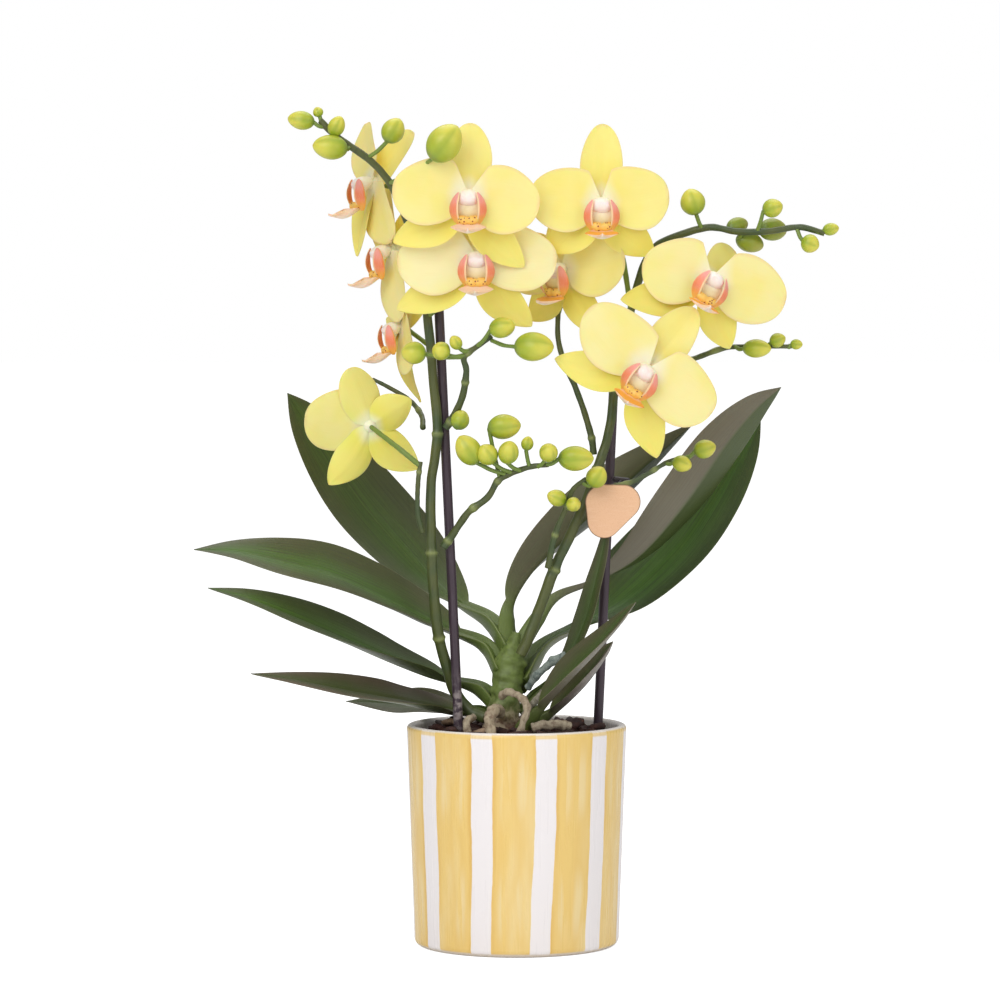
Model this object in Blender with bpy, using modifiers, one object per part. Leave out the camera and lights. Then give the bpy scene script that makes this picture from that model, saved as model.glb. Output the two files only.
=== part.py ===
"""A potted moth orchid: two flower spikes with ten open flowers, in a striped cover pot.

The scene is in metres, +Z is up, and the origin is the centre of the pot's underside. The
flowers face -Y. Lengths in the tables below are in millimetres and angles in degrees.
"""

import math

import bmesh
import bpy
import numpy as np
from mathutils import Euler, Matrix, Vector

MM = 0.001
CLEARANCE = 0.35

# Cover pot
POT_HEIGHT = 107.0
POT_RADIUS_TOP = 53.0
POT_RADIUS_BOTTOM = 49.5
POT_WALL = 4.0
POT_FLOOR = 6.0
POT_ROUNDING = 4.0
POT_STEPS = 28

# Grow pot that stands inside it
GROW_HEIGHT = 92.0
GROW_RADIUS_TOP = 45.5
GROW_RADIUS_BOTTOM = 36.0
GROW_WALL = 0.8
GROW_STEPS = 20
GROW_LIP = 1.5
GROW_LIP_DEPTH = 3.0
DRAIN_HOLES = 5
DRAIN_RADIUS = 3.0
DRAIN_RING = 22.0

# Bark
BARK_TOP = 100.0
BARK_CHIPS = 14
CHIP_RING = 34.0
CHIP_SMALLEST = (9, 6, 4)
CHIP_LARGEST = (14, 9, 6)
CHIP_TILT = 16
GOLDEN_ANGLE = 137.5

# Flower parts, before each flower's own size is applied
TEPAL_THICKNESS = 0.9
TEPAL_ROWS = 4
TEPAL_SPAN = (0.13, 0.94)  # where its first and last rows are, as shares of its length
TEPAL_HEEL = 1.4  # most half width at the very centre
TEPAL_FLARE = 1.75  # how fast that grows outwards
CUP = 2.0
HEART = (7.5, 7.5, 6.5)
COLUMN = (4.6, 4.6, 9)
CALLUS = (12.5, 4, 4.5)
SIDE_LOBE = (2.4, 8, 15)
MIDDLE_LOBE = (11, 4, 19)
FLOWER_BACK = (0, 5.2, -1)  # where the flower's stalk ends
PEDICEL_RADIUS = 1.2
STALK_RADIUS = 0.9
BUD_HEEL = 0.3  # how far from a bud's centre its stalk ends, as a share of its length
STALK_SAG = 0.8
LEAF_THICKNESS = 1.7
LEAF_ROWS = 9
PETIOLE = 0.13  # share of a leaf's length that is stalk, unless the leaf gives its own
STEM_SIDES = 1

# Widths, fullness of the outline, how far out each kind is widest, and its place front to back.
PETAL = dict(width=32.5, fullness=0.44, base=1.10, layer=-0.6)
SEPAL = dict(width=19.5, fullness=0.70, base=0.94, layer=1.2)
DORSAL = dict(width=21.0, fullness=0.46, base=0.96, layer=1.2)
SHOULDER = 0.72  # base of a petal's upper half, fuller near the centre than its lower half

# Each flower: centre, turn to the right, nod, roll, size, the roll of its column and lip, and
# five tepals as (kind, direction in the flower's own plane, length, lean backwards).
FLOWERS = {
    "flower_01": dict(
        centre=(-23, -40, 360), turn=0, nod=4, roll=0, size=1.0,
        lip_roll=0,
        tepals=((DORSAL, 88, 34.5, 8), (PETAL, 173, 36, -4), (PETAL, -6, 34, -4),
                (SEPAL, 212, 42, 4), (SEPAL, -52, 43, 4)),
    ),
    "flower_02": dict(
        centre=(-19, -29, 331), turn=-2, nod=4, roll=0, size=1.0,
        lip_roll=0,
        tepals=((DORSAL, 90, 34, 12), (PETAL, 183, 38, 0), (PETAL, 0, 38, 0),
                (SEPAL, 213, 46, 4), (SEPAL, -52, 42, 4)),
    ),
    "flower_03": dict(
        centre=(40, -30, 356.5), turn=0, nod=2, roll=0, size=0.97,
        lip_roll=0,
        tepals=((DORSAL, 89, 39.5, 8), (PETAL, 172, 35.5, -4), (PETAL, 11, 33.5, -4),
                (SEPAL, 219, 36.5, 5), (SEPAL, -44, 36, 4)),
    ),
    "flower_04": dict(
        centre=(22, -7, 326), turn=-36, nod=4, roll=0, size=0.96,
        lip_roll=0,
        tepals=((DORSAL, 92, 33, 10), (PETAL, 170, 34, -2), (PETAL, 8, 38, 0),
                (SEPAL, 226, 36, 4), (SEPAL, -56, 41, 4)),
    ),
    "flower_05": dict(
        centre=(92, -32, 321), turn=12, nod=0, roll=-27, size=1.0,
        lip_roll=-27,
        tepals=((DORSAL, 64, 32, 44), (PETAL, 194, 34, 2), (PETAL, 11, 38, 0),
                (SEPAL, 220, 44, 4), (SEPAL, -45, 35, 6)),
    ),
    "flower_06": dict(
        centre=(61, -43, 278), turn=-4, nod=6, roll=-33, size=1.0,
        lip_roll=-33,
        tepals=((DORSAL, 84, 37, 10), (PETAL, 165, 40, -2), (PETAL, 2, 37, -2),
                (SEPAL, 207, 44, 4), (SEPAL, -51, 43, 4)),
    ),
    "flower_07": dict(
        centre=(-70, 21, 368), turn=-66, nod=2, roll=-60, size=1.0,
        lip_roll=0,
        tepals=((DORSAL, 110, 33, 20), (PETAL, 170, 31, 2), (PETAL, 0, 32, 4),
                (SEPAL, 212, 34, 8), (SEPAL, -50, 38, -10)),
    ),
    "flower_08": dict(
        centre=(-61, 20, 335), turn=-66, nod=4, roll=-56, size=1.0,
        lip_roll=0,
        tepals=((DORSAL, 104, 33, 24), (PETAL, 170, 34, 6), (PETAL, -6, 37, -6),
                (SEPAL, 214, 34, 6), (SEPAL, -46, 25, 2)),
    ),
    "flower_09": dict(
        centre=(-56, 18, 298), turn=-66, nod=6, roll=-30, size=0.94,
        lip_roll=0,
        tepals=((DORSAL, 88, 33, 24), (PETAL, 176, 29, 22), (PETAL, -5, 29, -9),
                (SEPAL, 214, 34, 6), (SEPAL, -62, 40, 6)),
    ),
    "flower_10": dict(
        centre=(-71, 6, 251), turn=196, nod=-4, roll=0, size=0.95,
        lip_roll=0,
        tepals=((DORSAL, 68, 32, 4), (PETAL, 8, 35, 4), (SEPAL, 142, 25, 22),
                (SEPAL, -54, 37, 0), (SEPAL, 222, 33, 8)),
    ),
}

# Routes of the stems, with the radius at their first and last point.
LEFT_SPIKE = [
    (-15, -3, 110), (-22, 0, 113), (-29, 1, 121), (-34, -4, 136), (-38, -10, 153), (-40, -14, 175),
    (-41, -13, 200), (-41, -11, 223), (-38, -10, 248), (-40, -9, 273), (-42, -9, 297),
    (-45, -8, 320), (-49, -7, 338), (-54, -6, 353), (-60, -6, 366), (-69, -7, 377),
    (-80, -8, 385), (-88, -9, 391), (-94, -9, 397),
]
RIGHT_SPIKE = [
    (2, -10, 141), (6, -10, 150), (12, -10, 166), (18, -10, 182), (25, -9, 197),
    (30, -9, 208), (37, -8, 225), (42, -7, 240), (45, -7, 252), (47, -6, 268),
    (50, -6, 285), (54, -6, 303), (60, -6, 325), (67, -7, 337), (80, -8, 343),
    (93, -9, 346), (105, -10, 344), (120, -11, 344), (135, -12, 346), (147, -13, 343),
]

# Each stem node: route, radii, pedicels to flowers, and buds. A pedicel is (flower, start,
# knee). A bud is (centre, length, width, tip direction, start of its stalk).
STEMS = {
    "left_spike": dict(
        route=LEFT_SPIKE, radii=(3.0, 1.5), samples=26,
        pedicels=(
            ("flower_01", (-52, -7, 345), (-36, -22, 357)),
            ("flower_02", (-43, -9, 303), (-26, -18, 318)),
            ("flower_07", (-58, -6, 361), (-54, 12, 364)),
            ("flower_08", (-45, -8, 321), (-45, 10, 321)),
            ("flower_09", (-41, -9, 286), (-37, 8, 285)),
        ),
        buds=(
            ((-103, -10, 397), 13, 9, (-1, 0, 0.15), (-92, -9, 394)),
            ((-95, -9, 401), 5, 5, (-0.4, 0, 1), (-93, -9, 396)),
            ((-86, -13, 394), 11, 8, (0.4, -0.4, 0.8), (-86, -9, 389)),
            ((-89, -14, 384), 17, 12, (-1, -0.2, 0.1), (-80, -8, 385)),
            ((-59, -12, 392), 13, 11, (0.5, 0, 0.9), (-72, -7, 379)),
            ((-34, -50, 384.5), 20, 16, (0.6, -0.1, 0.8), (-61, -6, 367)),
        ),
    ),
    "left_upper_branch": dict(
        route=[(-34, -11, 250), (-30, -13, 256), (-26, -16, 265), (-24, -20, 277),
               (-25, -23, 284), (-19, -26, 289), (-12, -28, 294)],
        radii=(1.9, 1.2), samples=12, pedicels=(),
        buds=(
            ((-49, -26, 286), 12, 11, (-1, -0.2, 0.1), (-26, -23, 284)),
            ((-36, -28, 287), 9, 9, (-0.6, -0.6, 0.4), (-25, -24, 285)),
            ((-29, -30, 291), 8, 6, (-0.4, -0.6, 0.7), (-23, -25, 287)),
            ((-7, -36, 298), 13, 10, (1, -0.4, 0.2), (-19, -26, 289)),
            ((8, -40, 289), 19, 14, (1, -0.2, 0), (-12, -28, 292)),
            ((-27, -18, 254), 10, 9, (0.3, 0.4, 0.8), (-31, -13, 254)),
        ),
    ),
    "left_lower_branch": dict(
        route=[(-35, -15, 193), (-30, -16, 200), (-23, -19, 210), (-14, -21, 217),
               (-9, -23, 225), (-2, -25, 229), (7, -27, 232), (15, -29, 233)],
        radii=(1.9, 1.2), samples=14, pedicels=(),
        buds=(
            ((-6, -26, 251), 16, 12, (1, 0, 0.1), (-8, -23, 226)),
            ((-23, -31, 240), 16, 12, (-0.5, -0.2, 0.8), (-4, -24, 228)),
            ((-14, -33, 238), 11, 10, (-0.4, -0.5, 0.7), (-2, -25, 229)),
            ((-4, -34, 239), 12, 10, (0.2, -0.5, 0.8), (2, -26, 230)),
            ((5, -27, 243), 7, 6, (0.2, 0, 1), (6, -27, 232)),
            ((28, -31, 236), 17, 12, (1, 0, 0), (14, -29, 233)),
            ((15, -36, 239), 10, 9, (0.2, -0.7, 0.5), (10, -28, 232)),
        ),
    ),
    "left_side_branch": dict(
        route=[(-45, -17, 200), (-47, -18, 208), (-47.5, -18, 217), (-47, -18, 226),
               (-46, -17, 234)],
        radii=(1.3, 1.1), samples=10,
        pedicels=(("flower_10", (-46, -17, 232), (-56, -14, 240)),), buds=(),
    ),
    "left_back_branch": dict(
        route=[(-45, -6, 250), (-46, 4, 256), (-52, 14, 263), (-62, 18, 269), (-70, 20, 273)],
        radii=(1.4, 0.9), samples=8, pedicels=(), buds=(),
    ),
    "right_spike": dict(
        route=RIGHT_SPIKE, radii=(2.8, 1.4), samples=28,
        pedicels=(
            ("flower_03", (55, -6, 306), (49, -14, 338)),
            ("flower_05", (68, -7, 338), (82, -18, 330)),
            ("flower_06", (49, -6, 278), (54, -22, 283)),
        ),
        buds=(
            ((84, -13, 358), 13, 12, (-0.3, -0.2, 1), (89, -9, 345)),
            ((122, -16, 355), 10, 9, (1, -0.1, 0.3), (115, -11, 344)),
            ((106, -2, 347), 13, 8, (0.7, 0.6, 0.2), (101, -9, 345)),
            ((123, -3, 345), 15, 11, (0.9, 0.5, 0), (118, -10, 344)),
            ((112, -2, 339), 15, 10, (1, 0.5, -0.3), (108, -9, 344)),
            ((140, -16, 338), 9, 9, (0.7, -0.3, -0.3), (134, -12, 345)),
            ((150, -13, 345), 8, 6, (1, 0, 0.2), (143, -13, 344)),
        ),
    ),
    "right_upper_branch": dict(
        route=[(37, -4, 237), (36, -4, 245), (33, -3, 256), (28, -1, 270), (23, 1, 281),
               (20, 3, 293), (20, 4, 306)],
        radii=(1.7, 1.2), samples=12,
        pedicels=(("flower_04", (20, 4, 305), (23, 5, 316)),), buds=(),
    ),
    "right_bud_branch": dict(
        route=[(55, -1, 277), (66, 3, 278), (79, 3, 281), (88, 1, 284), (99, -2, 288),
               (109, -5, 289), (122, -8, 289), (132, -9, 289)],
        radii=(1.5, 1.0), samples=12, pedicels=(),
        buds=(
            ((115, -10, 288), 14, 9, (1, -0.3, 0), (105, -4, 289)),
            ((125, -9, 292), 8, 7, (1, 0, 0.4), (118, -7, 289)),
            ((134, -9, 290), 6, 5, (1, 0, 0), (130, -9, 289)),
        ),
    ),
    "right_low_branch": dict(
        route=[(42, -11, 221), (47, -11, 222), (55, -10, 224), (63, -10, 228),
               (73, -11, 234), (82, -12, 236)],
        radii=(1.3, 1.0), samples=10, pedicels=(),
        buds=(
            ((79, -17, 233), 10, 8, (0.7, -0.4, -0.2), (72, -11, 233)),
            ((90, -13, 240), 11, 9, (1, 0, 0.3), (81, -12, 236)),
        ),
    ),
    "right_inner_branch": dict(
        route=[(15, -15, 183), (18, -17, 198), (23, -19, 211), (27, -21, 221),
               (33, -23, 226)],
        radii=(1.6, 1.1), samples=10, pedicels=(),
        buds=(
            ((38, -25, 227), 11, 10, (0.5, -0.1, 0.8), (31, -22, 225)),
            ((19, -23, 217), 10, 8, (-0.7, -0.3, 0.3), (24, -20, 214)),
            ((27, -26, 214), 8, 7, (0.2, -0.7, 0.1), (24, -19, 212)),
        ),
    ),
}

# Each leaf: midrib route, greatest width, the way its upper face looks at the base and at
# the tip, how far its halves fold up at the base and at the tip, and where it is widest.
LEAVES = {
    "leaf_01": dict(
        route=[(-13, 17, 154), (-27, 32, 162), (-41, 40, 172), (-56, 43, 188),
               (-75, 43, 210), (-91, 41, 233), (-104, 37, 253), (-112, 33, 266)],
        width=42, face=((0.45, -0.7, 0.6), (0.3, -0.95, 0.3)), fold=(55, 12), peak=0.82),
    "leaf_02": dict(
        route=[(-15, 9, 143), (-30, 13, 150), (-46, 10, 157), (-66, 0, 168),
               (-89, -12, 179), (-112, -22, 186), (-133, -29, 191), (-153, -36, 193)],
        width=36, face=((0.2, -0.6, 0.75), (0, -0.55, 0.85)), fold=(60, 14), peak=0.85),
    "leaf_03": dict(
        route=[(-17, 7, 122), (-28, 12, 126), (-42, 9, 130), (-60, -4, 138),
               (-80, -19, 148), (-102, -34, 159), (-124, -46, 169), (-145, -56, 176)],
        width=36, face=((0.2, -0.3, 0.95), (0.1, -0.45, 0.9)), fold=(50, 14), peak=0.85,
        stalk=0.2),
    "leaf_04": dict(
        route=[(-18, 6, 112), (-30, 8, 112), (-42, 0, 115), (-58, -18, 120),
               (-80, -40, 126), (-102, -58, 132), (-124, -72, 137)],
        width=26, face=((0, -0.5, 0.85), (0.1, -0.45, 0.9)), fold=(40, 14), peak=0.85),
    "leaf_05": dict(
        route=[(-14, 16, 110), (-30, 25, 111), (-46, 31, 113), (-62, 36, 113), (-84, 42, 114)],
        width=20, face=((0, -0.5, 0.8), (0, -0.6, 0.8)), fold=(35, 14), peak=0.85),
    "leaf_06": dict(
        route=[(-5, 13, 156), (-2, 21, 167), (9, 29, 182), (27, 37, 199), (47, 44, 217),
               (67, 50, 234), (88, 55, 251)],
        width=34, face=((-0.8, 0.3, 0.4), (-0.5, 0.75, 0.4)), fold=(45, 16), peak=0.85),
    "leaf_07": dict(
        route=[(10, 9, 157), (20, 14, 168), (38, 22, 175), (60, 25, 188), (82, 27, 213),
               (101, 28, 240), (116, 27, 258), (129, 25, 269)],
        width=28, face=((-0.3, 0.5, 0.7), (-0.25, 0.95, 0.2)), fold=(50, 18), peak=0.86,
        stalk=0.3),
    "leaf_08": dict(
        route=[(9, 14, 136), (17, 22, 145), (32, 35, 152), (54, 45, 163), (79, 50, 186),
               (97, 54, 211), (111, 56, 235), (121, 57, 253)],
        width=54, face=((-0.3, -0.3, 0.9), (-0.45, -0.8, 0.35)), fold=(45, 16), peak=0.70,
        stalk=0.3),
    "leaf_09": dict(
        route=[(9, 6, 120), (19, 6, 130), (28, 4, 143), (34, 1, 158), (38, -3, 174),
               (42, -7, 192), (45, -10, 212)],
        width=12.5, face=((-0.6, -0.4, 0.5), (-0.5, -0.85, 0.1)), fold=(40, 20), peak=0.9),
    "leaf_10": dict(
        route=[(7, -18, 112), (14, -23, 120), (24, -29, 131), (35, -36, 143),
               (46, -42, 156), (56, -49, 169)],
        width=22, face=((-0.5, -0.2, 0.7), (-0.6, -0.4, 0.5)), fold=(50, 22), peak=0.8),
    "leaf_11": dict(
        route=[(11, 0, 109), (22, -3, 117), (32, -8, 127), (40, -13, 138), (46, -18, 148)],
        width=22, face=((-0.4, -0.2, 0.8), (-0.7, -0.3, 0.4)), fold=(45, 22), peak=0.8),
}

CROWN_ROUTE = [(-8, 0, 94), (-7, 0, 108), (-5, 0, 122), (-3, 1, 137), (0, 2, 151)]
CROWN_RADII = (8.5, 5.0)

# Aerial roots: route and radius.
ROOTS = {
    "aerial_root_01": ([(-8, -13, 121), (-4, -20, 124), (2, -27, 122), (5, -31, 117),
                        (3, -33, 111), (1, -33, 102), (1, -33, 96)], 1.8),
    "aerial_root_02": ([(-8, -13, 113), (-10, -22, 116), (-13, -30, 112), (-12, -34, 104),
                        (-12, -34, 97)], 2.6),
    "aerial_root_03": ([(7, -28, 107), (13, -28, 109), (20, -27, 109), (26, -25, 108)], 2.2),
    "aerial_root_04": ([(5, -4, 124), (9, -7, 130), (14, -9, 135), (19, -10, 139),
                        (24, -10, 141)], 2.0),
    "aerial_root_05": ([(3, -13, 112), (8, -14, 118), (13, -15, 124)], 1.5),
    "aerial_root_06": ([(-20, -18, 112), (-24, -24, 110), (-23, -28, 103),
                        (-23, -29, 97)], 1.7),
}

LEFT_STAKE = ((-24, -9, 22), (-38, -5, 322))
RIGHT_STAKE = ((38.5, 12, 80), (47, 6, 272))
STAKE_RADIUS = 2.3

# Tag: a flat board hung by a clip on the right stake. Its outline is a band drawn tight round
# three circles, each given as (x, z, radius) from its centre.
TAG_CENTRE = (46, -16.5, 210)
TAG_CIRCLES = ((-4.6, 4.6, 8.6), (5.0, 4.8, 8.2), (-4.2, -4.6, 8.0))
TAG_SIDES = 24
TAG_THICKNESS = 1.0
CLIP_CENTRE = (50.5, 2, 224.5)
CLIP_SIZES = (9, 2.2, 3.6)
CLIP_TURN = (0, 6, 8)

LOOSE_CHIPS = {
    "bark_chip_01": ((27, -8, 107.5), (11, 7, 4), (8, -10, 25)),
    "bark_chip_02": ((-33, 3, 107.5), (9, 6, 3), (-12, 8, 70)),
    "bark_chip_03": ((10, 34, 107.5), (12, 7, 4), (5, 12, -30)),
}

COLOURS = {
    "pot_glaze": ((0.86, 0.62, 0.20), 0.18, 0.0),
    "grow_pot": ((0.20, 0.20, 0.21), 0.35, 0.0),
    "bark": ((0.07, 0.025, 0.012), 0.90, 0.0),
    "leaf": ((0.045, 0.09, 0.018), 0.35, 0.0),
    "stem": ((0.09, 0.13, 0.04), 0.50, 0.0),
    "petal": ((0.90, 0.76, 0.28), 0.50, 0.0),
    "lip": ((0.85, 0.35, 0.12), 0.45, 0.0),
    "root": ((0.42, 0.36, 0.26), 0.80, 0.0),
    "stake": ((0.045, 0.03, 0.04), 0.40, 0.0),
    "tag": ((0.80, 0.55, 0.35), 0.70, 0.0),
    "clip": ((0.03, 0.02, 0.03), 0.40, 0.0),
}


# ---------------------------------------------------------------- scene and materials

def clear_scene():
    for obj in list(bpy.data.objects):
        bpy.data.objects.remove(obj, do_unlink=True)


def new_collection(name, parent=None):
    collection = bpy.data.collections.new(name)
    (parent or bpy.context.scene.collection).children.link(collection)
    return collection


def make_material(name):
    colour, roughness, metallic = COLOURS[name]
    material = bpy.data.materials.new(name)
    material.use_nodes = True
    shader = material.node_tree.nodes["Principled BSDF"]
    shader.inputs["Base Color"].default_value = (*colour, 1.0)
    shader.inputs["Roughness"].default_value = roughness
    shader.inputs["Metallic"].default_value = metallic
    return material


clear_scene()
PLANT = new_collection("potted_orchid")
TOOLS = new_collection("potted_orchid_tools")
MATERIALS = {name: make_material(name) for name in COLOURS}


def add_object(name, mesh, material, collection=None):
    obj = bpy.data.objects.new(name, mesh)
    mesh.materials.append(MATERIALS[material])
    mesh.shade_smooth()
    (collection or PLANT).objects.link(obj)
    return obj


def make_tool(obj, collection):
    """Marks an object as a cutter or as a shape that another object takes in."""
    for owner in list(obj.users_collection):
        owner.objects.unlink(obj)
    collection.objects.link(obj)
    obj.hide_render = True
    obj.display_type = "WIRE"


def combine(obj, pieces, operation):
    """Unites the pieces with the object, or takes them away from it."""
    collection = new_collection(f"{obj.name}_{operation.lower()}", TOOLS)
    for piece in pieces:
        make_tool(piece, collection)
    modifier = obj.modifiers.new(operation.lower(), "BOOLEAN")
    modifier.operation = operation
    modifier.operand_type = "COLLECTION"
    modifier.collection = collection


# ---------------------------------------------------------------- basic shapes

def smooth_route(points, samples):
    """A Catmull-Rom curve through the points, read at evenly spaced parameters."""
    knots = np.array(points, float)
    padded = np.vstack([2 * knots[0] - knots[1], knots, 2 * knots[-1] - knots[-2]])
    place = np.linspace(0, len(knots) - 1 - 1e-9, samples)
    first = place.astype(int)
    t = (place - first)[:, None]
    a, b, c, d = (padded[first + k] for k in range(4))
    return 0.5 * (2 * b + (c - a) * t + (2 * a - 5 * b + 4 * c - d) * t**2
                  + (3 * b - a - 3 * c + d) * t**3)


def tube(name, route, radii, samples, material, extra=0.0):
    """A closed mesh tube along the route, its radius running evenly between the two given."""
    curve = bpy.data.curves.new(name, "CURVE")
    curve.dimensions = "3D"
    curve.bevel_depth = MM
    curve.bevel_resolution = STEM_SIDES
    curve.use_fill_caps = True
    points = smooth_route(route, samples) * MM
    spline = curve.splines.new("POLY")
    spline.points.add(len(points) - 1)
    spline.points.foreach_set("co", np.column_stack([points, np.ones(samples)]).ravel())
    spline.points.foreach_set("radius", np.linspace(radii[0], radii[-1], samples) + extra)
    guide = bpy.data.objects.new(name, curve)
    PLANT.objects.link(guide)
    bpy.context.view_layer.update()
    graph = bpy.context.evaluated_depsgraph_get()
    mesh = bpy.data.meshes.new_from_object(guide.evaluated_get(graph))
    bpy.data.objects.remove(guide, do_unlink=True)
    shape = bmesh.new()
    shape.from_mesh(mesh)
    bmesh.ops.remove_doubles(shape, verts=shape.verts, dist=0.01 * MM)
    bmesh.ops.recalc_face_normals(shape, faces=shape.faces)
    shape.to_mesh(mesh)
    shape.free()
    mesh.name = name
    mesh.materials.clear()
    return add_object(name, mesh, material)


def ball(name, centre, sizes, direction, material, segments=8, rings=6, parent=None):
    """An ellipsoid of the given full widths, its last axis along the direction."""
    turn = Vector(direction).to_track_quat("Z", "Y").to_matrix().to_4x4()
    scale = Matrix.Diagonal((*(Vector(sizes) * MM / 2), 1))
    shape = bmesh.new()
    bmesh.ops.create_uvsphere(
        shape, u_segments=segments, v_segments=rings, radius=1,
        matrix=Matrix.Translation(Vector(centre) * MM) @ turn @ scale)
    mesh = bpy.data.meshes.new(name)
    shape.to_mesh(mesh)
    shape.free()
    obj = add_object(name, mesh, material)
    obj.parent = parent
    return obj


def turned(name, profile, steps, material):
    """A profile of (radius, height) points, spun round the Z axis."""
    mesh = bpy.data.meshes.new(name)
    points = [(radius * MM, 0, height * MM) for radius, height in profile]
    mesh.from_pydata(points, [(i, i + 1) for i in range(len(points) - 1)], [])
    obj = add_object(name, mesh, material)
    spin = obj.modifiers.new("spin", "SCREW")
    spin.steps = steps
    spin.render_steps = steps
    spin.use_merge_vertices = True
    spin.merge_threshold = 0.01 * MM
    return obj


def sheet(name, points, thickness, material, parent=None):
    """An open grid of points, given a wall of even thickness about its middle."""
    rows, columns = points.shape[:2]
    mesh = bpy.data.meshes.new(name)
    index = np.arange(rows * columns).reshape(rows, columns)
    faces = np.stack([index[:-1, :-1], index[1:, :-1], index[1:, 1:], index[:-1, 1:]], -1)
    mesh.from_pydata((points.reshape(-1, 3) * MM).tolist(), [], faces.reshape(-1, 4).tolist())
    obj = add_object(name, mesh, material)
    obj.parent = parent
    wall = obj.modifiers.new("wall", "SOLIDIFY")
    wall.thickness = thickness * MM
    wall.offset = 0
    return obj


def block(name, centre, sizes, turn, material):
    """A box of the given full sizes, turned about its centre."""
    shape = bmesh.new()
    place = Matrix.Translation(Vector(centre) * MM)
    spin = Euler([math.radians(angle) for angle in turn]).to_matrix().to_4x4()
    bmesh.ops.create_cube(shape, size=1, matrix=place @ spin @ Matrix.Diagonal(
        (*(Vector(sizes) * MM), 1)))
    mesh = bpy.data.meshes.new(name)
    shape.to_mesh(mesh)
    shape.free()
    return add_object(name, mesh, material)


# ---------------------------------------------------------------- pot, grow pot and bark

def arc(centre, radius, start, end, steps):
    """Points of a circular arc in a (radius, height) profile."""
    angles = np.radians(np.linspace(start, end, steps + 1))
    return [(centre[0] + radius * math.cos(a), centre[1] + radius * math.sin(a)) for a in angles]


def make_pot():
    half_wall = POT_WALL / 2
    inner_bottom = POT_RADIUS_BOTTOM - POT_WALL
    inner_top = POT_RADIUS_TOP - POT_WALL
    profile = [(0, POT_FLOOR), (inner_bottom - 3, POT_FLOOR)]
    profile += [(inner_bottom, POT_FLOOR + 3), (inner_top, POT_HEIGHT - half_wall)]
    profile += arc((POT_RADIUS_TOP - half_wall, POT_HEIGHT - half_wall), half_wall, 150, 0, 4)
    profile += arc((POT_RADIUS_BOTTOM - POT_ROUNDING, POT_ROUNDING), POT_ROUNDING, 0, -90, 3)
    profile += [(0, 0)]
    turned("ceramic_pot", profile, POT_STEPS, "pot_glaze")


def make_grow_pot():
    floor = POT_FLOOR + CLEARANCE
    rim = floor + GROW_HEIGHT
    profile = [
        (0, floor + GROW_WALL),
        (GROW_RADIUS_BOTTOM - GROW_WALL, floor + GROW_WALL),
        (GROW_RADIUS_TOP - GROW_WALL, rim),
        (GROW_RADIUS_TOP + GROW_LIP, rim),
        (GROW_RADIUS_TOP + GROW_LIP, rim - GROW_LIP_DEPTH),
        (GROW_RADIUS_TOP, rim - GROW_LIP_DEPTH),
        (GROW_RADIUS_BOTTOM, floor),
        (0, floor),
    ]
    pot = turned("grow_pot", profile, GROW_STEPS, "grow_pot")
    holes = []
    for number in range(DRAIN_HOLES):
        angle = 2 * math.pi * number / DRAIN_HOLES
        place = Vector((DRAIN_RING * math.cos(angle), DRAIN_RING * math.sin(angle), floor)) * MM
        shape = bmesh.new()
        bmesh.ops.create_cone(
            shape, cap_ends=True, segments=8, radius1=DRAIN_RADIUS * MM,
            radius2=DRAIN_RADIUS * MM, depth=4 * GROW_WALL * MM, matrix=Matrix.Translation(place))
        mesh = bpy.data.meshes.new("drain_hole")
        shape.to_mesh(mesh)
        shape.free()
        holes.append(add_object(f"drain_hole_{number}", mesh, "grow_pot"))
    combine(pot, holes, "DIFFERENCE")


def make_bark(cutters):
    bottom = POT_FLOOR + CLEARANCE + GROW_WALL + CLEARANCE
    gap = GROW_WALL + CLEARANCE + 0.6
    profile = [
        (0, BARK_TOP),
        (GROW_RADIUS_TOP - gap - 3, BARK_TOP),
        (GROW_RADIUS_TOP - gap - 0.8, BARK_TOP - 4),
        (GROW_RADIUS_BOTTOM - gap, bottom),
        (0, bottom),
    ]
    bark = turned("bark_substrate", profile, GROW_STEPS, "bark")
    chooser = np.random.default_rng(5)
    chips = []
    for number in range(BARK_CHIPS):
        reach = CHIP_RING * math.sqrt((number + 0.5) / BARK_CHIPS)
        angle = math.radians(GOLDEN_ANGLE * number)
        centre = (reach * math.cos(angle), reach * math.sin(angle), BARK_TOP + 0.8)
        sizes = chooser.uniform(CHIP_SMALLEST, CHIP_LARGEST)
        turn = chooser.uniform((-CHIP_TILT, -CHIP_TILT, 0), (CHIP_TILT, CHIP_TILT, 180))
        chips.append(block(f"chip_{number}", centre, sizes, turn, "bark"))
    combine(bark, chips, "UNION")
    combine(bark, cutters, "DIFFERENCE")
    for name, (centre, sizes, turn) in LOOSE_CHIPS.items():
        block(name, centre, sizes, turn, "bark")


# ---------------------------------------------------------------- plant

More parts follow.
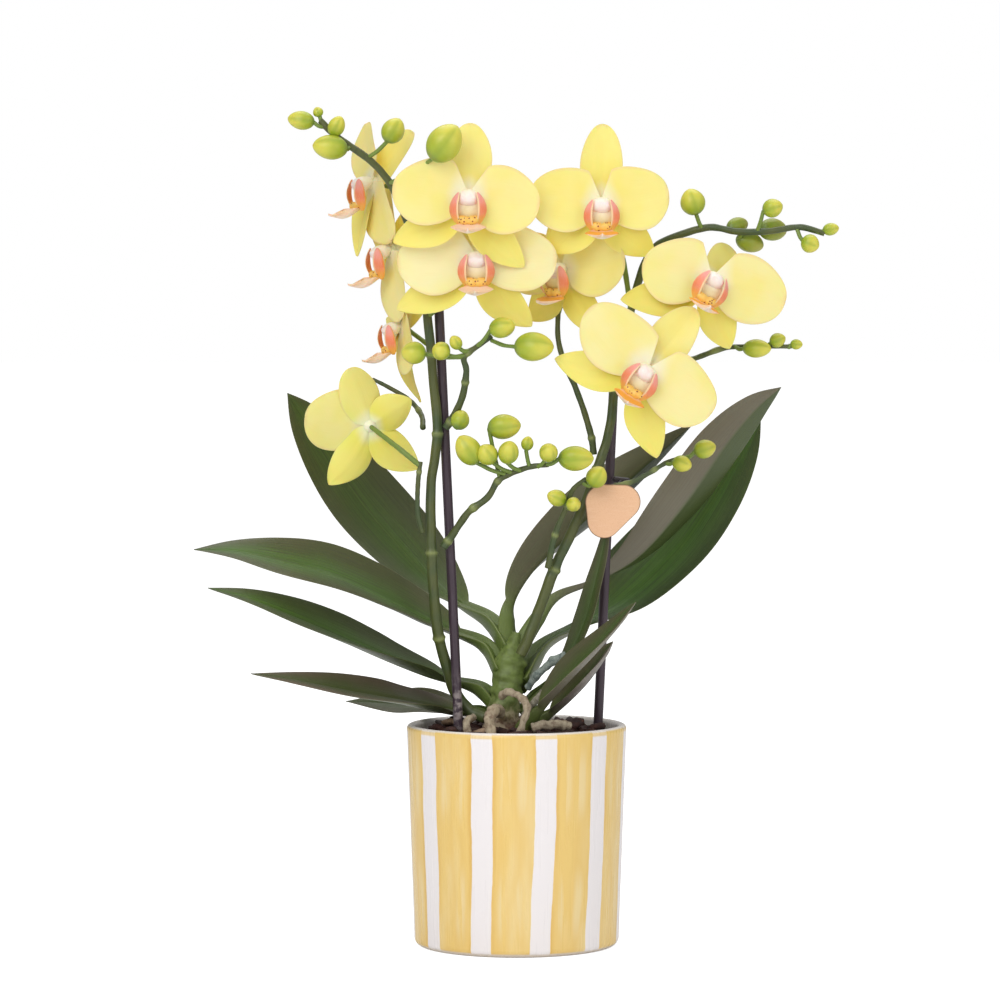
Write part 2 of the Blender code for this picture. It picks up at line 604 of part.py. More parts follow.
def leaf_grid(route, width, face, fold, peak, stalk=PETIOLE, rows=LEAF_ROWS, columns=5):
    """Points of a leaf: its midrib follows the route, each half rises by the fold angle, and the
    blade widens beyond its stalk."""
    dense = smooth_route(route, 8 * rows)
    along = np.linspace(0, 1, rows)
    midrib = np.stack([np.interp(along, np.linspace(0, 1, len(dense)), dense[:, k])
                       for k in range(3)], -1)
    tangent = np.gradient(midrib, axis=0)
    tangent /= np.linalg.norm(tangent, axis=1, keepdims=True)
    first, last = (np.array(side, float) for side in face)
    look = first + (last - first) * along[:, None]
    across = np.cross(tangent, look)
    across /= np.linalg.norm(across, axis=1, keepdims=True)
    up = np.cross(across, tangent)
    blade = np.clip((along - stalk) / (1 - stalk), 0.001, 0.985)
    belly = np.sin(math.pi * blade**peak) ** 0.9
    half = width / 2 * (0.26 * (1 - along) ** 3 + belly)
    bend = np.radians(fold[1] + (fold[0] - fold[1]) * (1 - along) ** 3)
    side = np.linspace(-1, 1, columns)[None, :, None]
    reach = (half * np.cos(bend))[:, None, None] * side * across[:, None, :]
    lift = (half * np.sin(bend))[:, None, None] * np.abs(side) ** 1.4 * up[:, None, :]
    return midrib[:, None, :] + reach + lift


def make_leaves():
    for name, leaf in LEAVES.items():
        sheet(name, leaf_grid(**leaf), LEAF_THICKNESS, "leaf")


def tepal_grid(kind, direction, length, lean):
    """Points of a petal or sepal in the flower's frame, running out from the centre. Its sides
    are cupped forwards."""
    along = 0.5 - 0.5 * np.cos(math.pi * np.linspace(*TEPAL_SPAN, TEPAL_ROWS))
    angle = math.radians(direction)
    tilt = math.radians(lean)
    side = np.linspace(-1, 1, 3)
    upper = (kind is PETAL) & (side * math.cos(angle) > 0)
    base = np.where(upper, SHOULDER, kind["base"])[None, :]
    half = kind["width"] / 2 * np.sin(math.pi * along[:, None] ** base) ** kind["fullness"]
    half = np.minimum(half, 1.4 + 1.75 * along[:, None] * length)
    half = np.minimum(half, TEPAL_HEEL + TEPAL_FLARE * along[:, None] * length)
    outward = np.array([math.cos(angle) * math.cos(tilt), math.sin(tilt),
                        math.sin(angle) * math.cos(tilt)])
    across = np.array([-math.sin(angle), 0, math.cos(angle)])
    points = outward * (along * length)[:, None, None] + across * (half * side)[:, :, None]
    cup = CUP * side**2 * np.sin(math.pi * along)[:, None]
    points[:, :, 1] += kind["layer"] - cup
    return points


def flower_turn(flower, roll):
    """The way a flower looks, with the named roll."""
    nod, roll, turn = (math.radians(flower[key]) for key in ("nod", roll, "turn"))
    return Euler((nod, -roll, turn), "YXZ")


def flower_place(name, roll):
    """An empty at the flower's centre, turned the way that the flower looks."""
    flower = FLOWERS[name]
    place = bpy.data.objects.new(f"{name}_{roll}", None)
    place.rotation_mode = "YXZ"
    place.location = Vector(flower["centre"]) * MM
    place.rotation_euler = flower_turn(flower, roll)
    place.scale = [flower["size"]] * 3
    PLANT.objects.link(place)
    return place


def flower_back(name):
    """The point where a flower's stalk meets its back, in millimetres."""
    flower = FLOWERS[name]
    spin = flower_turn(flower, "roll").to_matrix()
    return Vector(flower["centre"]) + spin @ Vector(FLOWER_BACK) * flower["size"]


def make_flowers():
    for name, flower in FLOWERS.items():
        place = flower_place(name, "roll")
        face = flower_place(name, "lip_roll")
        body = ball(name, (0, 0.4, 0), HEART, (0, -1, 0), "petal", 6, 4, place)
        pieces = [
            sheet(f"{name}_tepal_{number}", tepal_grid(*tepal), TEPAL_THICKNESS, "petal", place)
            for number, tepal in enumerate(flower["tepals"])
        ]
        pieces.append(ball(f"{name}_column", (0, -5, -0.6), COLUMN, (0, -1, -0.25),
                           "petal", 6, 4, face))
        combine(body, pieces, "UNION")
        make_lip(name, face)


def make_lip(flower, place):
    """Callus, two upright side lobes and the pointed middle lobe, just below the column."""
    callus = ball(f"{flower}_lip", (0, -7, -8.5), CALLUS, (0, 0, 1), "lip", 6, 4, place)
    pieces = [
        ball(f"{flower}_side_lobe_{side}", (5.6 * side, -7.5, -3.5), SIDE_LOBE,
             (0.12 * side, 0.15, 1), "lip", 6, 4, place)
        for side in (-1, 1)
    ]
    pieces.append(ball(f"{flower}_middle_lobe", (0, -14, -12.4), MIDDLE_LOBE, (0, -1, -0.25),
                       "lip", 6, 4, place))
    combine(callus, pieces, "UNION")


def make_stems():
    for name, stem in STEMS.items():
        body = tube(name, stem["route"], stem["radii"], stem["samples"], "stem")
        pieces = []
        for flower, start, knee in stem["pedicels"]:
            route = [start, knee, flower_back(flower)]
            pieces.append(tube(f"{name}_to_{flower}", route,
                               (PEDICEL_RADIUS, PEDICEL_RADIUS), 5, "stem"))
        for number, (centre, length, width, tip, start) in enumerate(stem["buds"]):
            pieces.append(ball(f"{name}_bud_{number}", centre, (width, width, length), tip,
                               "stem", 6, 4))
            heel = Vector(centre) - Vector(tip).normalized() * length * BUD_HEEL
            middle = (Vector(start) + heel) / 2 - Vector((0, 0, STALK_SAG))
            pieces.append(tube(f"{name}_stalk_{number}", [start, middle, heel],
                               (STALK_RADIUS, STALK_RADIUS), 3, "stem"))
        if pieces:
            combine(body, pieces, "UNION")


def make_crown_and_roots():
    """Returns cutters, a little larger than each root and the crown, for the bark."""
    tube("crown", CROWN_ROUTE, CROWN_RADII, 9, "stem")
    cutters = [tube("crown_hollow", CROWN_ROUTE, CROWN_RADII, 9, "stem", CLEARANCE)]
    cutters[0].location.z = -CLEARANCE * MM
    for name, (route, radius) in ROOTS.items():
        tube(name, route, (radius, radius), 9, "root")
        hollow = tube(f"{name}_hollow", route, (radius, radius), 9, "root", CLEARANCE)
        hollow.location.z = -CLEARANCE * MM
        cutters.append(hollow)
    return cutters


def make_stakes():
    cutters = []
    for name, ends in (("left_stake", LEFT_STAKE), ("right_stake", RIGHT_STAKE)):
        tube(name, ends, (STAKE_RADIUS, STAKE_RADIUS), 2, "stake")
        hollow = tube(f"{name}_hollow", ends, (STAKE_RADIUS, STAKE_RADIUS), 2, "stake", CLEARANCE)
        hollow.location.z = -CLEARANCE * MM
        cutters.append(hollow)
    return cutters


def make_tag():
    """The tag and the clip that holds it. Each way round, the tag's outline takes the circle that
    reaches farthest that way."""
    angles = np.linspace(0, 2 * math.pi, TAG_SIDES, endpoint=False)
    ways = np.stack([np.cos(angles), np.sin(angles)], -1)
    circles = np.array(TAG_CIRCLES)
    chosen = circles[np.argmax(ways @ circles[:, :2].T + circles[:, 2], axis=1)]
    outline = (chosen[:, :2] + chosen[:, 2:] * ways) * MM
    curve = bpy.data.curves.new("plant_tag", "CURVE")
    curve.dimensions = "2D"
    curve.fill_mode = "BOTH"
    curve.extrude = TAG_THICKNESS / 2 * MM
    spline = curve.splines.new("POLY")
    spline.use_cyclic_u = True
    spline.points.add(TAG_SIDES - 1)
    flat = np.column_stack([outline, np.zeros(TAG_SIDES), np.ones(TAG_SIDES)])
    spline.points.foreach_set("co", flat.ravel())
    tag = bpy.data.objects.new("plant_tag", curve)
    curve.materials.append(MATERIALS["tag"])
    tag.location = Vector(TAG_CENTRE) * MM
    tag.rotation_euler = (math.radians(90), 0, 0)
    PLANT.objects.link(tag)
    block("tag_clip", CLIP_CENTRE, CLIP_SIZES, CLIP_TURN, "clip")


make_pot()
make_grow_pot()
make_bark(make_crown_and_roots() + make_stakes())
make_leaves()
make_flowers()
make_stems()
make_tag()
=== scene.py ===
"""A moth orchid in a striped cover pot, built piece by piece around its packed frame.

Run it with Blender in the background, or from the text editor. The frame is in metres, +Z is
up and the flowers look towards -Y. Lengths in the tables are in millimetres, angles in degrees.
"""

import math

import bpy
import numpy as np
from mathutils import Euler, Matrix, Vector


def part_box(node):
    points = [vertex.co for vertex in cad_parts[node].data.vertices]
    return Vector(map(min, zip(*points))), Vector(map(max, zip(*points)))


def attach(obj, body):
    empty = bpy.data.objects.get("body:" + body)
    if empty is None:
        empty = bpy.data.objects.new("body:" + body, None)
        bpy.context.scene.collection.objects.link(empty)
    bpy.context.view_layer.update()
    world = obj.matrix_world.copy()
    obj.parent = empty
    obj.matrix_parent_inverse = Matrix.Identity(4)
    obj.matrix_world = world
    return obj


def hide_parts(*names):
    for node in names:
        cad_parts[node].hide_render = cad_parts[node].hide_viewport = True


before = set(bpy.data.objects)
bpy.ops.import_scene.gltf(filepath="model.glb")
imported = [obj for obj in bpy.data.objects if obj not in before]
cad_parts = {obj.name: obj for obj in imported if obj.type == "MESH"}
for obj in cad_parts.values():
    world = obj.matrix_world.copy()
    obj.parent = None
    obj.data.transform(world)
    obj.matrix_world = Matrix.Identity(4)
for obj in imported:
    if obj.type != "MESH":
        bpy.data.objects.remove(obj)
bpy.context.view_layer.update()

bl_info = {
    "name": "Potted orchid",
    "version": (1, 0, 0),
    "blender": (4, 5, 0),
    "location": "View3D > Sidebar > Orchid",
    "description": "Builds a potted moth orchid with two flower spikes",
    "category": "Add Mesh",
}

MM = 0.001
TURN = 2 * math.pi
PETIOLE = 0.13  # share of a leaf's length that is stalk, unless the leaf gives its own
FIRST_STRIPE = 0.333  # how far the stripes are turned round the pot, in radians
CHIP_COUNT = 190  # chips on the bed of bark
GOLDEN_ANGLE = math.pi * (3 - math.sqrt(5))

# Each kind of flower leaf: its width, the fullness of its outline, the power that moves its
# widest place along it, how far behind the flower's plane it lies, and how green its yellow is.
PETAL = dict(width=32.5, fullness=0.44, base=1.10, layer=-0.6, tone=0.0)
SEPAL = dict(width=19.5, fullness=0.70, base=0.94, layer=1.2, tone=1.0)
DORSAL = dict(width=21.0, fullness=0.46, base=0.96, layer=1.2, tone=0.45)
SHOULDER = 0.72  # base of a petal's upper half, fuller near the centre than its lower half
CUP = 2.0  # how far the margins of a petal come forward
NECK, SEAM = 1.4, 1.75  # half width of a petal at the centre, and how fast it may grow outwards
FLOWER_BACK = (0, 3.0, -0.6)  # where the stalk meets the flower, from its centre

# Each flower: centre, turn to the right, nod, roll, size, how cream its yellow is from 0 to 1,
# the roll of its column and lip, how orange its middle lobe is and how far that curls up, and
# five tepals as (kind, direction in the flower's own plane, length, lean backwards).
FLOWERS = {
    "flower_01": dict(
        centre=(-23, -40, 360), turn=0, nod=4, roll=0, size=1.0, warmth=0.25,
        lip_roll=0, tongue=(0.35, 1.5),
        tepals=((DORSAL, 88, 34.5, 8), (PETAL, 173, 36, -4), (PETAL, -6, 34, -4),
                (SEPAL, 212, 42, 4), (SEPAL, -52, 43, 4)),
    ),
    "flower_02": dict(
        centre=(-19, -29, 331), turn=-2, nod=4, roll=0, size=1.0, warmth=1.0,
        lip_roll=0, tongue=(0.35, 1.5),
        tepals=((DORSAL, 90, 34, 12), (PETAL, 183, 38, 0), (PETAL, 0, 38, 0),
                (SEPAL, 213, 46, 4), (SEPAL, -52, 42, 4)),
    ),
    "flower_03": dict(
        centre=(40, -30, 356.5), turn=0, nod=2, roll=0, size=0.97, warmth=0.0,
        lip_roll=0, tongue=(1.0, 1.5),
        tepals=((DORSAL, 89, 39.5, 8), (PETAL, 172, 35.5, -4), (PETAL, 11, 33.5, -4),
                (SEPAL, 219, 36.5, 5), (SEPAL, -44, 36, 4)),
    ),
    "flower_04": dict(
        centre=(22, -7, 326), turn=-36, nod=4, roll=0, size=0.96, warmth=0.15,
        lip_roll=0, tongue=(1.0, 1.5),
        tepals=((DORSAL, 92, 33, 10), (PETAL, 170, 34, -2), (PETAL, 8, 38, 0),
                (SEPAL, 226, 36, 4), (SEPAL, -56, 41, 4)),
    ),
    "flower_05": dict(
        centre=(92, -32, 321), turn=12, nod=0, roll=-27, size=1.0, warmth=0.5,
        lip_roll=-27, tongue=(1.0, 1.5),
        tepals=((DORSAL, 64, 32, 44), (PETAL, 194, 34, 2), (PETAL, 11, 38, 0),
                (SEPAL, 220, 44, 4), (SEPAL, -45, 35, 6)),
    ),
    "flower_06": dict(
        centre=(61, -43, 278), turn=-4, nod=6, roll=-33, size=1.0, warmth=0.55,
        lip_roll=-33, tongue=(1.0, 1.5),
        tepals=((DORSAL, 84, 37, 10), (PETAL, 165, 40, -2), (PETAL, 2, 37, -2),
                (SEPAL, 207, 44, 4), (SEPAL, -51, 43, 4)),
    ),
    "flower_07": dict(
        centre=(-70, 21, 368), turn=-66, nod=2, roll=-60, size=1.0, warmth=0.2,
        lip_roll=0, tongue=(0.15, 4.0),
        tepals=((DORSAL, 110, 33, 20), (PETAL, 170, 31, 2), (PETAL, 0, 32, 4),
                (SEPAL, 212, 34, 8), (SEPAL, -50, 38, -10)),
    ),
    "flower_08": dict(
        centre=(-61, 20, 335), turn=-66, nod=4, roll=-56, size=1.0, warmth=0.3,
        lip_roll=0, tongue=(0.15, 4.0),
        tepals=((DORSAL, 104, 33, 24), (PETAL, 170, 34, 6), (PETAL, -6, 37, -6),
                (SEPAL, 214, 34, 6), (SEPAL, -46, 25, 2)),
    ),
    "flower_09": dict(
        centre=(-56, 18, 298), turn=-66, nod=6, roll=-30, size=0.94, warmth=0.2,
        lip_roll=0, tongue=(0.15, 4.0),
        tepals=((DORSAL, 88, 33, 24), (PETAL, 176, 29, 22), (PETAL, -5, 29, -9),
                (SEPAL, 214, 34, 6), (SEPAL, -62, 40, 6)),
    ),
    "flower_10": dict(
        centre=(-71, 6, 251), turn=196, nod=-4, roll=0, size=0.95, warmth=0.35,
        lip_roll=0, tongue=(1.0, 1.5),
        tepals=((DORSAL, 68, 32, 4), (PETAL, 8, 35, 4), (SEPAL, 142, 25, 22),
                (SEPAL, -54, 37, 0), (SEPAL, 222, 33, 8)),
    ),
}

LEFT_SPIKE = [
    (-15, -3, 110), (-22, 0, 113), (-29, 1, 121), (-34, -4, 136), (-38, -10, 153), (-40, -14, 175),
    (-41, -13, 200), (-41, -11, 223), (-38, -10, 248), (-40, -9, 273), (-42, -9, 297),
    (-45, -8, 320), (-49, -7, 338), (-54, -6, 353), (-60, -6, 366), (-69, -7, 377),
    (-80, -8, 385), (-88, -9, 391), (-94, -9, 397),
]
RIGHT_SPIKE = [
    (2, -10, 141), (6, -10, 150), (12, -10, 166), (18, -10, 182), (25, -9, 197),
    (30, -9, 208), (37, -8, 225), (42, -7, 240), (45, -7, 252), (47, -6, 268),
    (50, -6, 285), (54, -6, 303), (60, -6, 325), (67, -7, 337), (80, -8, 343),
    (93, -9, 346), (105, -10, 344), (120, -11, 344), (135, -12, 346), (147, -13, 343),
]

PEDICEL_RADII = (1.35, 1.15)
BUD_STALK_RADII = (1.05, 0.95)
BUD_STALK_SAG = 0.8
BUD_HEEL = 0.46  # how far down a bud its stalk enters, as a share of its length
# painted shade: BUD_SHADE is how much darker the buds that stand behind the spikes are painted
BUD_SHADE = 0.45  # how dark the buds are that stand behind the spikes

# Each stem node: route, radii, heights of its ringed nodes, pedicels to flowers, and buds. A
# pedicel is (flower, start, knee). A bud is (centre, length, width, tip direction, start of
# its stalk).
STEMS = {
    "left_spike": dict(
        route=LEFT_SPIKE, radii=(3.0, 1.5), rings=(149, 190, 247, 285, 321, 345, 361),
        pedicels=(
            ("flower_01", (-52, -7, 345), (-36, -22, 357)),
            ("flower_02", (-43, -9, 303), (-26, -18, 318)),
            ("flower_07", (-58, -6, 361), (-54, 12, 364)),
            ("flower_08", (-45, -8, 321), (-45, 10, 321)),
            ("flower_09", (-41, -9, 286), (-37, 8, 285)),
        ),
        buds=(
            ((-103, -10, 397), 13, 9, (-1, 0, 0.15), (-92, -9, 394)),
            ((-95, -9, 401), 5, 5, (-0.4, 0, 1), (-93, -9, 396)),
            ((-86, -13, 394), 11, 8, (0.4, -0.4, 0.8), (-86, -9, 389)),
            ((-89, -14, 384), 17, 12, (-1, -0.2, 0.1), (-80, -8, 385)),
            ((-59, -12, 392), 13, 11, (0.5, 0, 0.9), (-72, -7, 379)),
            ((-34, -50, 384.5), 20, 16, (0.6, -0.1, 0.8), (-61, -6, 367)),
        ),
    ),
    "left_upper_branch": dict(
        route=[(-34, -11, 250), (-30, -13, 256), (-26, -16, 265), (-24, -20, 277),
               (-25, -23, 284), (-19, -26, 289), (-12, -28, 294)],
        radii=(1.9, 1.2), rings=(253, 272, 286), pedicels=(),
        buds=(
            ((-49, -26, 286), 12, 11, (-1, -0.2, 0.1), (-26, -23, 284)),
            ((-36, -28, 287), 9, 9, (-0.6, -0.6, 0.4), (-25, -24, 285)),
            ((-29, -30, 291), 8, 6, (-0.4, -0.6, 0.7), (-23, -25, 287)),
            ((-7, -36, 298), 13, 10, (1, -0.4, 0.2), (-19, -26, 289)),
            ((8, -40, 289), 19, 14, (1, -0.2, 0), (-12, -28, 292)),
            ((-27, -18, 254), 10, 9, (0.3, 0.4, 0.8), (-31, -13, 254)),
        ),
    ),
    "left_lower_branch": dict(
        route=[(-35, -15, 193), (-30, -16, 200), (-23, -19, 210), (-14, -21, 217),
               (-9, -23, 225), (-2, -25, 229), (7, -27, 232), (15, -29, 233)],
        radii=(1.9, 1.2), rings=(196, 212, 225), pedicels=(),
        buds=(
            ((-6, -26, 251), 16, 12, (1, 0, 0.1), (-8, -23, 226)),
            ((-23, -31, 240), 16, 12, (-0.5, -0.2, 0.8), (-4, -24, 228)),
            ((-14, -33, 238), 11, 10, (-0.4, -0.5, 0.7), (-2, -25, 229)),
            ((-4, -34, 239), 12, 10, (0.2, -0.5, 0.8), (2, -26, 230)),
            ((5, -27, 243), 7, 6, (0.2, 0, 1), (6, -27, 232)),
            ((28, -31, 236), 17, 12, (1, 0, 0), (14, -29, 233)),
            ((15, -36, 239), 10, 9, (0.2, -0.7, 0.5), (10, -28, 232)),
        ),
    ),
    "left_side_branch": dict(
        route=[(-45, -17, 200), (-47, -18, 208), (-47.5, -18, 217), (-47, -18, 226),
               (-46, -17, 234)],
        radii=(1.3, 1.1), rings=(229,),
        pedicels=(("flower_10", (-46, -17, 232), (-56, -14, 240)),), buds=(),
    ),
    "left_back_branch": dict(
        route=[(-45, -6, 250), (-46, 4, 256), (-52, 14, 263), (-62, 18, 269), (-70, 20, 273)],
        radii=(1.4, 0.9), rings=(258,), pedicels=(), buds=(),
    ),
    "right_spike": dict(
        route=RIGHT_SPIKE, radii=(2.8, 1.4), rings=(182, 230, 268, 304, 335),
        pedicels=(
            ("flower_03", (55, -6, 306), (49, -14, 338)),
            ("flower_05", (68, -7, 338), (82, -18, 330)),
            ("flower_06", (49, -6, 278), (54, -22, 283)),
        ),
        buds=(
            ((84, -13, 358), 13, 12, (-0.3, -0.2, 1), (89, -9, 345)),
            ((122, -16, 355), 10, 9, (1, -0.1, 0.3), (115, -11, 344)),
            ((106, -2, 347), 13, 8, (0.7, 0.6, 0.2), (101, -9, 345)),
            ((123, -3, 345), 15, 11, (0.9, 0.5, 0), (118, -10, 344)),
            ((112, -2, 339), 15, 10, (1, 0.5, -0.3), (108, -9, 344)),
            ((140, -16, 338), 9, 9, (0.7, -0.3, -0.3), (134, -12, 345)),
            ((150, -13, 345), 8, 6, (1, 0, 0.2), (143, -13, 344)),
        ),
    ),
    "right_upper_branch": dict(
        route=[(37, -4, 237), (36, -4, 245), (33, -3, 256), (28, -1, 270), (23, 1, 281),
               (20, 3, 293), (20, 4, 306)],
        radii=(1.7, 1.2), rings=(245, 281),
        pedicels=(("flower_04", (20, 4, 305), (23, 5, 316)),), buds=(),
    ),
    "right_bud_branch": dict(
        route=[(55, -1, 277), (66, 3, 278), (79, 3, 281), (88, 1, 284), (99, -2, 288),
               (109, -5, 289), (122, -8, 289), (132, -9, 289)],
        radii=(1.5, 1.0), rings=(282, 287), pedicels=(),
        buds=(
            ((115, -10, 288), 14, 9, (1, -0.3, 0), (105, -4, 289)),
            ((125, -9, 292), 8, 7, (1, 0, 0.4), (118, -7, 289)),
            ((134, -9, 290), 6, 5, (1, 0, 0), (130, -9, 289)),
        ),
    ),
    "right_low_branch": dict(
        route=[(42, -11, 221), (47, -11, 222), (55, -10, 224), (63, -10, 228),
               (73, -11, 234), (82, -12, 236)],
        radii=(1.3, 1.0), rings=(223, 230), pedicels=(),
        buds=(
            ((79, -17, 233), 10, 8, (0.7, -0.4, -0.2), (72, -11, 233)),
            ((90, -13, 240), 11, 9, (1, 0, 0.3), (81, -12, 236)),
        ),
    ),
    "right_inner_branch": dict(
        route=[(15, -15, 183), (18, -17, 198), (23, -19, 211), (27, -21, 221),
               (33, -23, 226)],
        radii=(1.6, 1.1), rings=(199, 213), pedicels=(),
        buds=(
            ((38, -25, 227), 11, 10, (0.5, -0.1, 0.8), (31, -22, 225)),
            ((19, -23, 217), 10, 8, (-0.7, -0.3, 0.3), (24, -20, 214)),
            ((27, -26, 214), 8, 7, (0.2, -0.7, 0.1), (24, -19, 212)),
        ),
    ),
}

# Each leaf: heel inside the crown, midrib route, greatest width, the way its upper face looks at
# the base and at the tip, how far its halves fold up there, where it is widest, the share of
# its length that is stalk where it isn't PETIOLE, and how purple and how bright it is from 0 to 1.
LEAVES = {
    "leaf_01": dict(
        heel=(-4, 3, 141),
        route=[(-13, 17, 154), (-27, 32, 162), (-41, 40, 172), (-56, 43, 188),
               (-75, 43, 210), (-91, 41, 233), (-104, 37, 253), (-112, 33, 266)],
        width=42, face=((0.45, -0.7, 0.6), (0.3, -0.95, 0.3)), fold=(55, 12), peak=0.82,
        purple=0.25, bright=0.25),
    "leaf_02": dict(
        heel=(-8, 1, 131),
        route=[(-15, 9, 143), (-30, 13, 150), (-46, 10, 157), (-66, 0, 168),
               (-89, -12, 179), (-112, -22, 186), (-133, -29, 191), (-153, -36, 193)],
        width=36, face=((0.2, -0.6, 0.75), (0, -0.55, 0.85)), fold=(60, 14), peak=0.85,
        purple=0.45, bright=0.75),
    "leaf_03": dict(
        heel=(-9, 1, 113),
        route=[(-17, 7, 122), (-28, 12, 126), (-42, 9, 130), (-60, -4, 138),
               (-80, -19, 148), (-102, -34, 159), (-124, -46, 169), (-145, -56, 176)],
        width=36, face=((0.2, -0.3, 0.95), (0.1, -0.45, 0.9)), fold=(50, 14), peak=0.85,
        stalk=0.2, purple=0.2, bright=0.5),
    "leaf_04": dict(
        heel=(-9, 1, 106),
        route=[(-18, 6, 112), (-30, 8, 112), (-42, 0, 115), (-58, -18, 120),
               (-80, -40, 126), (-102, -58, 132), (-124, -72, 137)],
        width=26, face=((0, -0.5, 0.85), (0.1, -0.45, 0.9)), fold=(40, 14), peak=0.85,
        purple=0.9, bright=0.0),
    "leaf_05": dict(
        heel=(-8, 6, 104),
        route=[(-14, 16, 110), (-30, 25, 111), (-46, 31, 113), (-62, 36, 113), (-84, 42, 114)],
        width=20, face=((0, -0.5, 0.8), (0, -0.6, 0.8)), fold=(35, 14), peak=0.85,
        purple=0.5, bright=0.1),
    "leaf_06": dict(
        heel=(-3, 4, 141),
        route=[(-5, 13, 156), (-2, 21, 167), (9, 29, 182), (27, 37, 199), (47, 44, 217),
               (67, 50, 234), (88, 55, 251)],
        width=34, face=((-0.8, 0.3, 0.4), (-0.5, 0.75, 0.4)), fold=(45, 16), peak=0.85,
        purple=0.15, bright=0.2),
    "leaf_07": dict(
        heel=(-1, 2, 138),
        route=[(10, 9, 157), (20, 14, 168), (38, 22, 175), (60, 25, 188), (82, 27, 213),
               (101, 28, 240), (116, 27, 258), (129, 25, 269)],
        width=28, face=((-0.3, 0.5, 0.7), (-0.25, 0.95, 0.2)), fold=(50, 18), peak=0.86,
        stalk=0.3, purple=0.55, bright=0.45),
    "leaf_08": dict(
        heel=(2, 3, 124),
        route=[(9, 14, 136), (17, 22, 145), (32, 35, 152), (54, 45, 163), (79, 50, 186),
               (97, 54, 211), (111, 56, 235), (121, 57, 253)],
        width=54, face=((-0.3, -0.3, 0.9), (-0.45, -0.8, 0.35)), fold=(45, 16), peak=0.70,
        stalk=0.3, purple=0.0, bright=0.75),
    "leaf_09": dict(
        heel=(2, 3, 112),
        route=[(9, 6, 120), (19, 6, 130), (28, 4, 143), (34, 1, 158), (38, -3, 174),
               (42, -7, 192), (45, -10, 212)],
        width=12.5, face=((-0.6, -0.4, 0.5), (-0.5, -0.85, 0.1)), fold=(40, 20), peak=0.9,
        purple=0.4, bright=0.25),
    "leaf_10": dict(
        heel=(1, -11, 104),
        route=[(7, -18, 112), (14, -23, 120), (24, -29, 131), (35, -36, 143),
               (46, -42, 156), (56, -49, 169)],
        width=22, face=((-0.5, -0.2, 0.7), (-0.6, -0.4, 0.5)), fold=(50, 22), peak=0.8,
        purple=0.55, bright=0.3),
    "leaf_11": dict(
        heel=(3, 1, 103),
        route=[(11, 0, 109), (22, -3, 117), (32, -8, 127), (40, -13, 138), (46, -18, 148)],
        width=22, face=((-0.4, -0.2, 0.8), (-0.7, -0.3, 0.4)), fold=(45, 22), peak=0.8,
        purple=0.95, bright=0.1),
}

CROWN_ROUTE = [(-8, 0, 94), (-7, 0, 108), (-5, 0, 122), (-3, 1, 137), (0, 2, 151)]
CROWN_RADII = (9.5, 6.0)

# Aerial roots: route, radius, and how silvery the root is from 0 to 1.
ROOTS = {
    "aerial_root_01": ([(-8, -13, 121), (-4, -20, 124), (2, -27, 122), (5, -31, 117),
                        (3, -33, 111), (1, -33, 102), (1, -33, 96)], 1.8, 0.15),
    "aerial_root_02": ([(-8, -13, 113), (-10, -22, 116), (-13, -30, 112), (-12, -34, 104),
                        (-12, -34, 97)], 2.6, 0.1),
    "aerial_root_03": ([(7, -28, 107), (13, -28, 109), (20, -27, 109), (26, -25, 108)],
                       2.2, 0.25),
    "aerial_root_04": ([(5, -4, 124), (9, -7, 130), (14, -9, 135), (19, -10, 139),
                        (24, -10, 141)], 2.0, 1.0),
    "aerial_root_05": ([(3, -13, 112), (8, -14, 118), (13, -15, 124)], 1.5, 0.5),
    "aerial_root_06": ([(-20, -18, 112), (-24, -24, 110), (-23, -28, 103),
                        (-23, -29, 97)], 1.7, 0.2),
}

STAKES = {
    "left_stake": ((-24, -9, 22), (-38, -5, 322)),
    "right_stake": ((38.5, 12, 80), (47, 6, 272)),
}
STAKE_RADIUS = 2.3
TAG_CENTRE = (46, -16.5, 210)
# The tag's outline is a band drawn tight round three circles: (x, z, radius) from its centre.
TAG_CIRCLES = ((-4.6, 4.6, 8.6), (5.0, 4.8, 8.2), (-4.2, -4.6, 8.0))
TAG_THICKNESS = 1.0
CLIP_CENTRE = (50.5, 2, 224.5)

# Loose chips: centre, full sizes, turn.
LOOSE_CHIPS = {
    "bark_chip_01": ((27, -8, 107.5), (11, 7, 4), (8, -10, 25)),
    "bark_chip_02": ((-33, 3, 107.5), (9, 6, 3), (-12, 8, 70)),
    "bark_chip_03": ((10, 34, 107.5), (12, 7, 4), (5, 12, -30)),
}


def paint(red, green, blue):
    """A colour given as it looks on a screen, from 0 to 255, in the linear light of the nodes."""
    seen = np.array((red, green, blue)) / 255
    return tuple(np.where(seen <= 0.04045, seen / 12.92, ((seen + 0.055) / 1.055) ** 2.4).tolist())


# ---------------------------------------------------------------- settings

def colour(name, description, default):
    """A colour property of the panel."""
    return bpy.props.FloatVectorProperty(
        name=name, description=description, default=default, subtype="COLOR", min=0, max=1)


def length(name, description, default):
    """A length property of the panel, given in millimetres."""
    return bpy.props.FloatProperty(
        name=name, description=description, default=default * MM, min=0, unit="LENGTH")


POT_LOW, POT_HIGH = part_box("ceramic_pot")


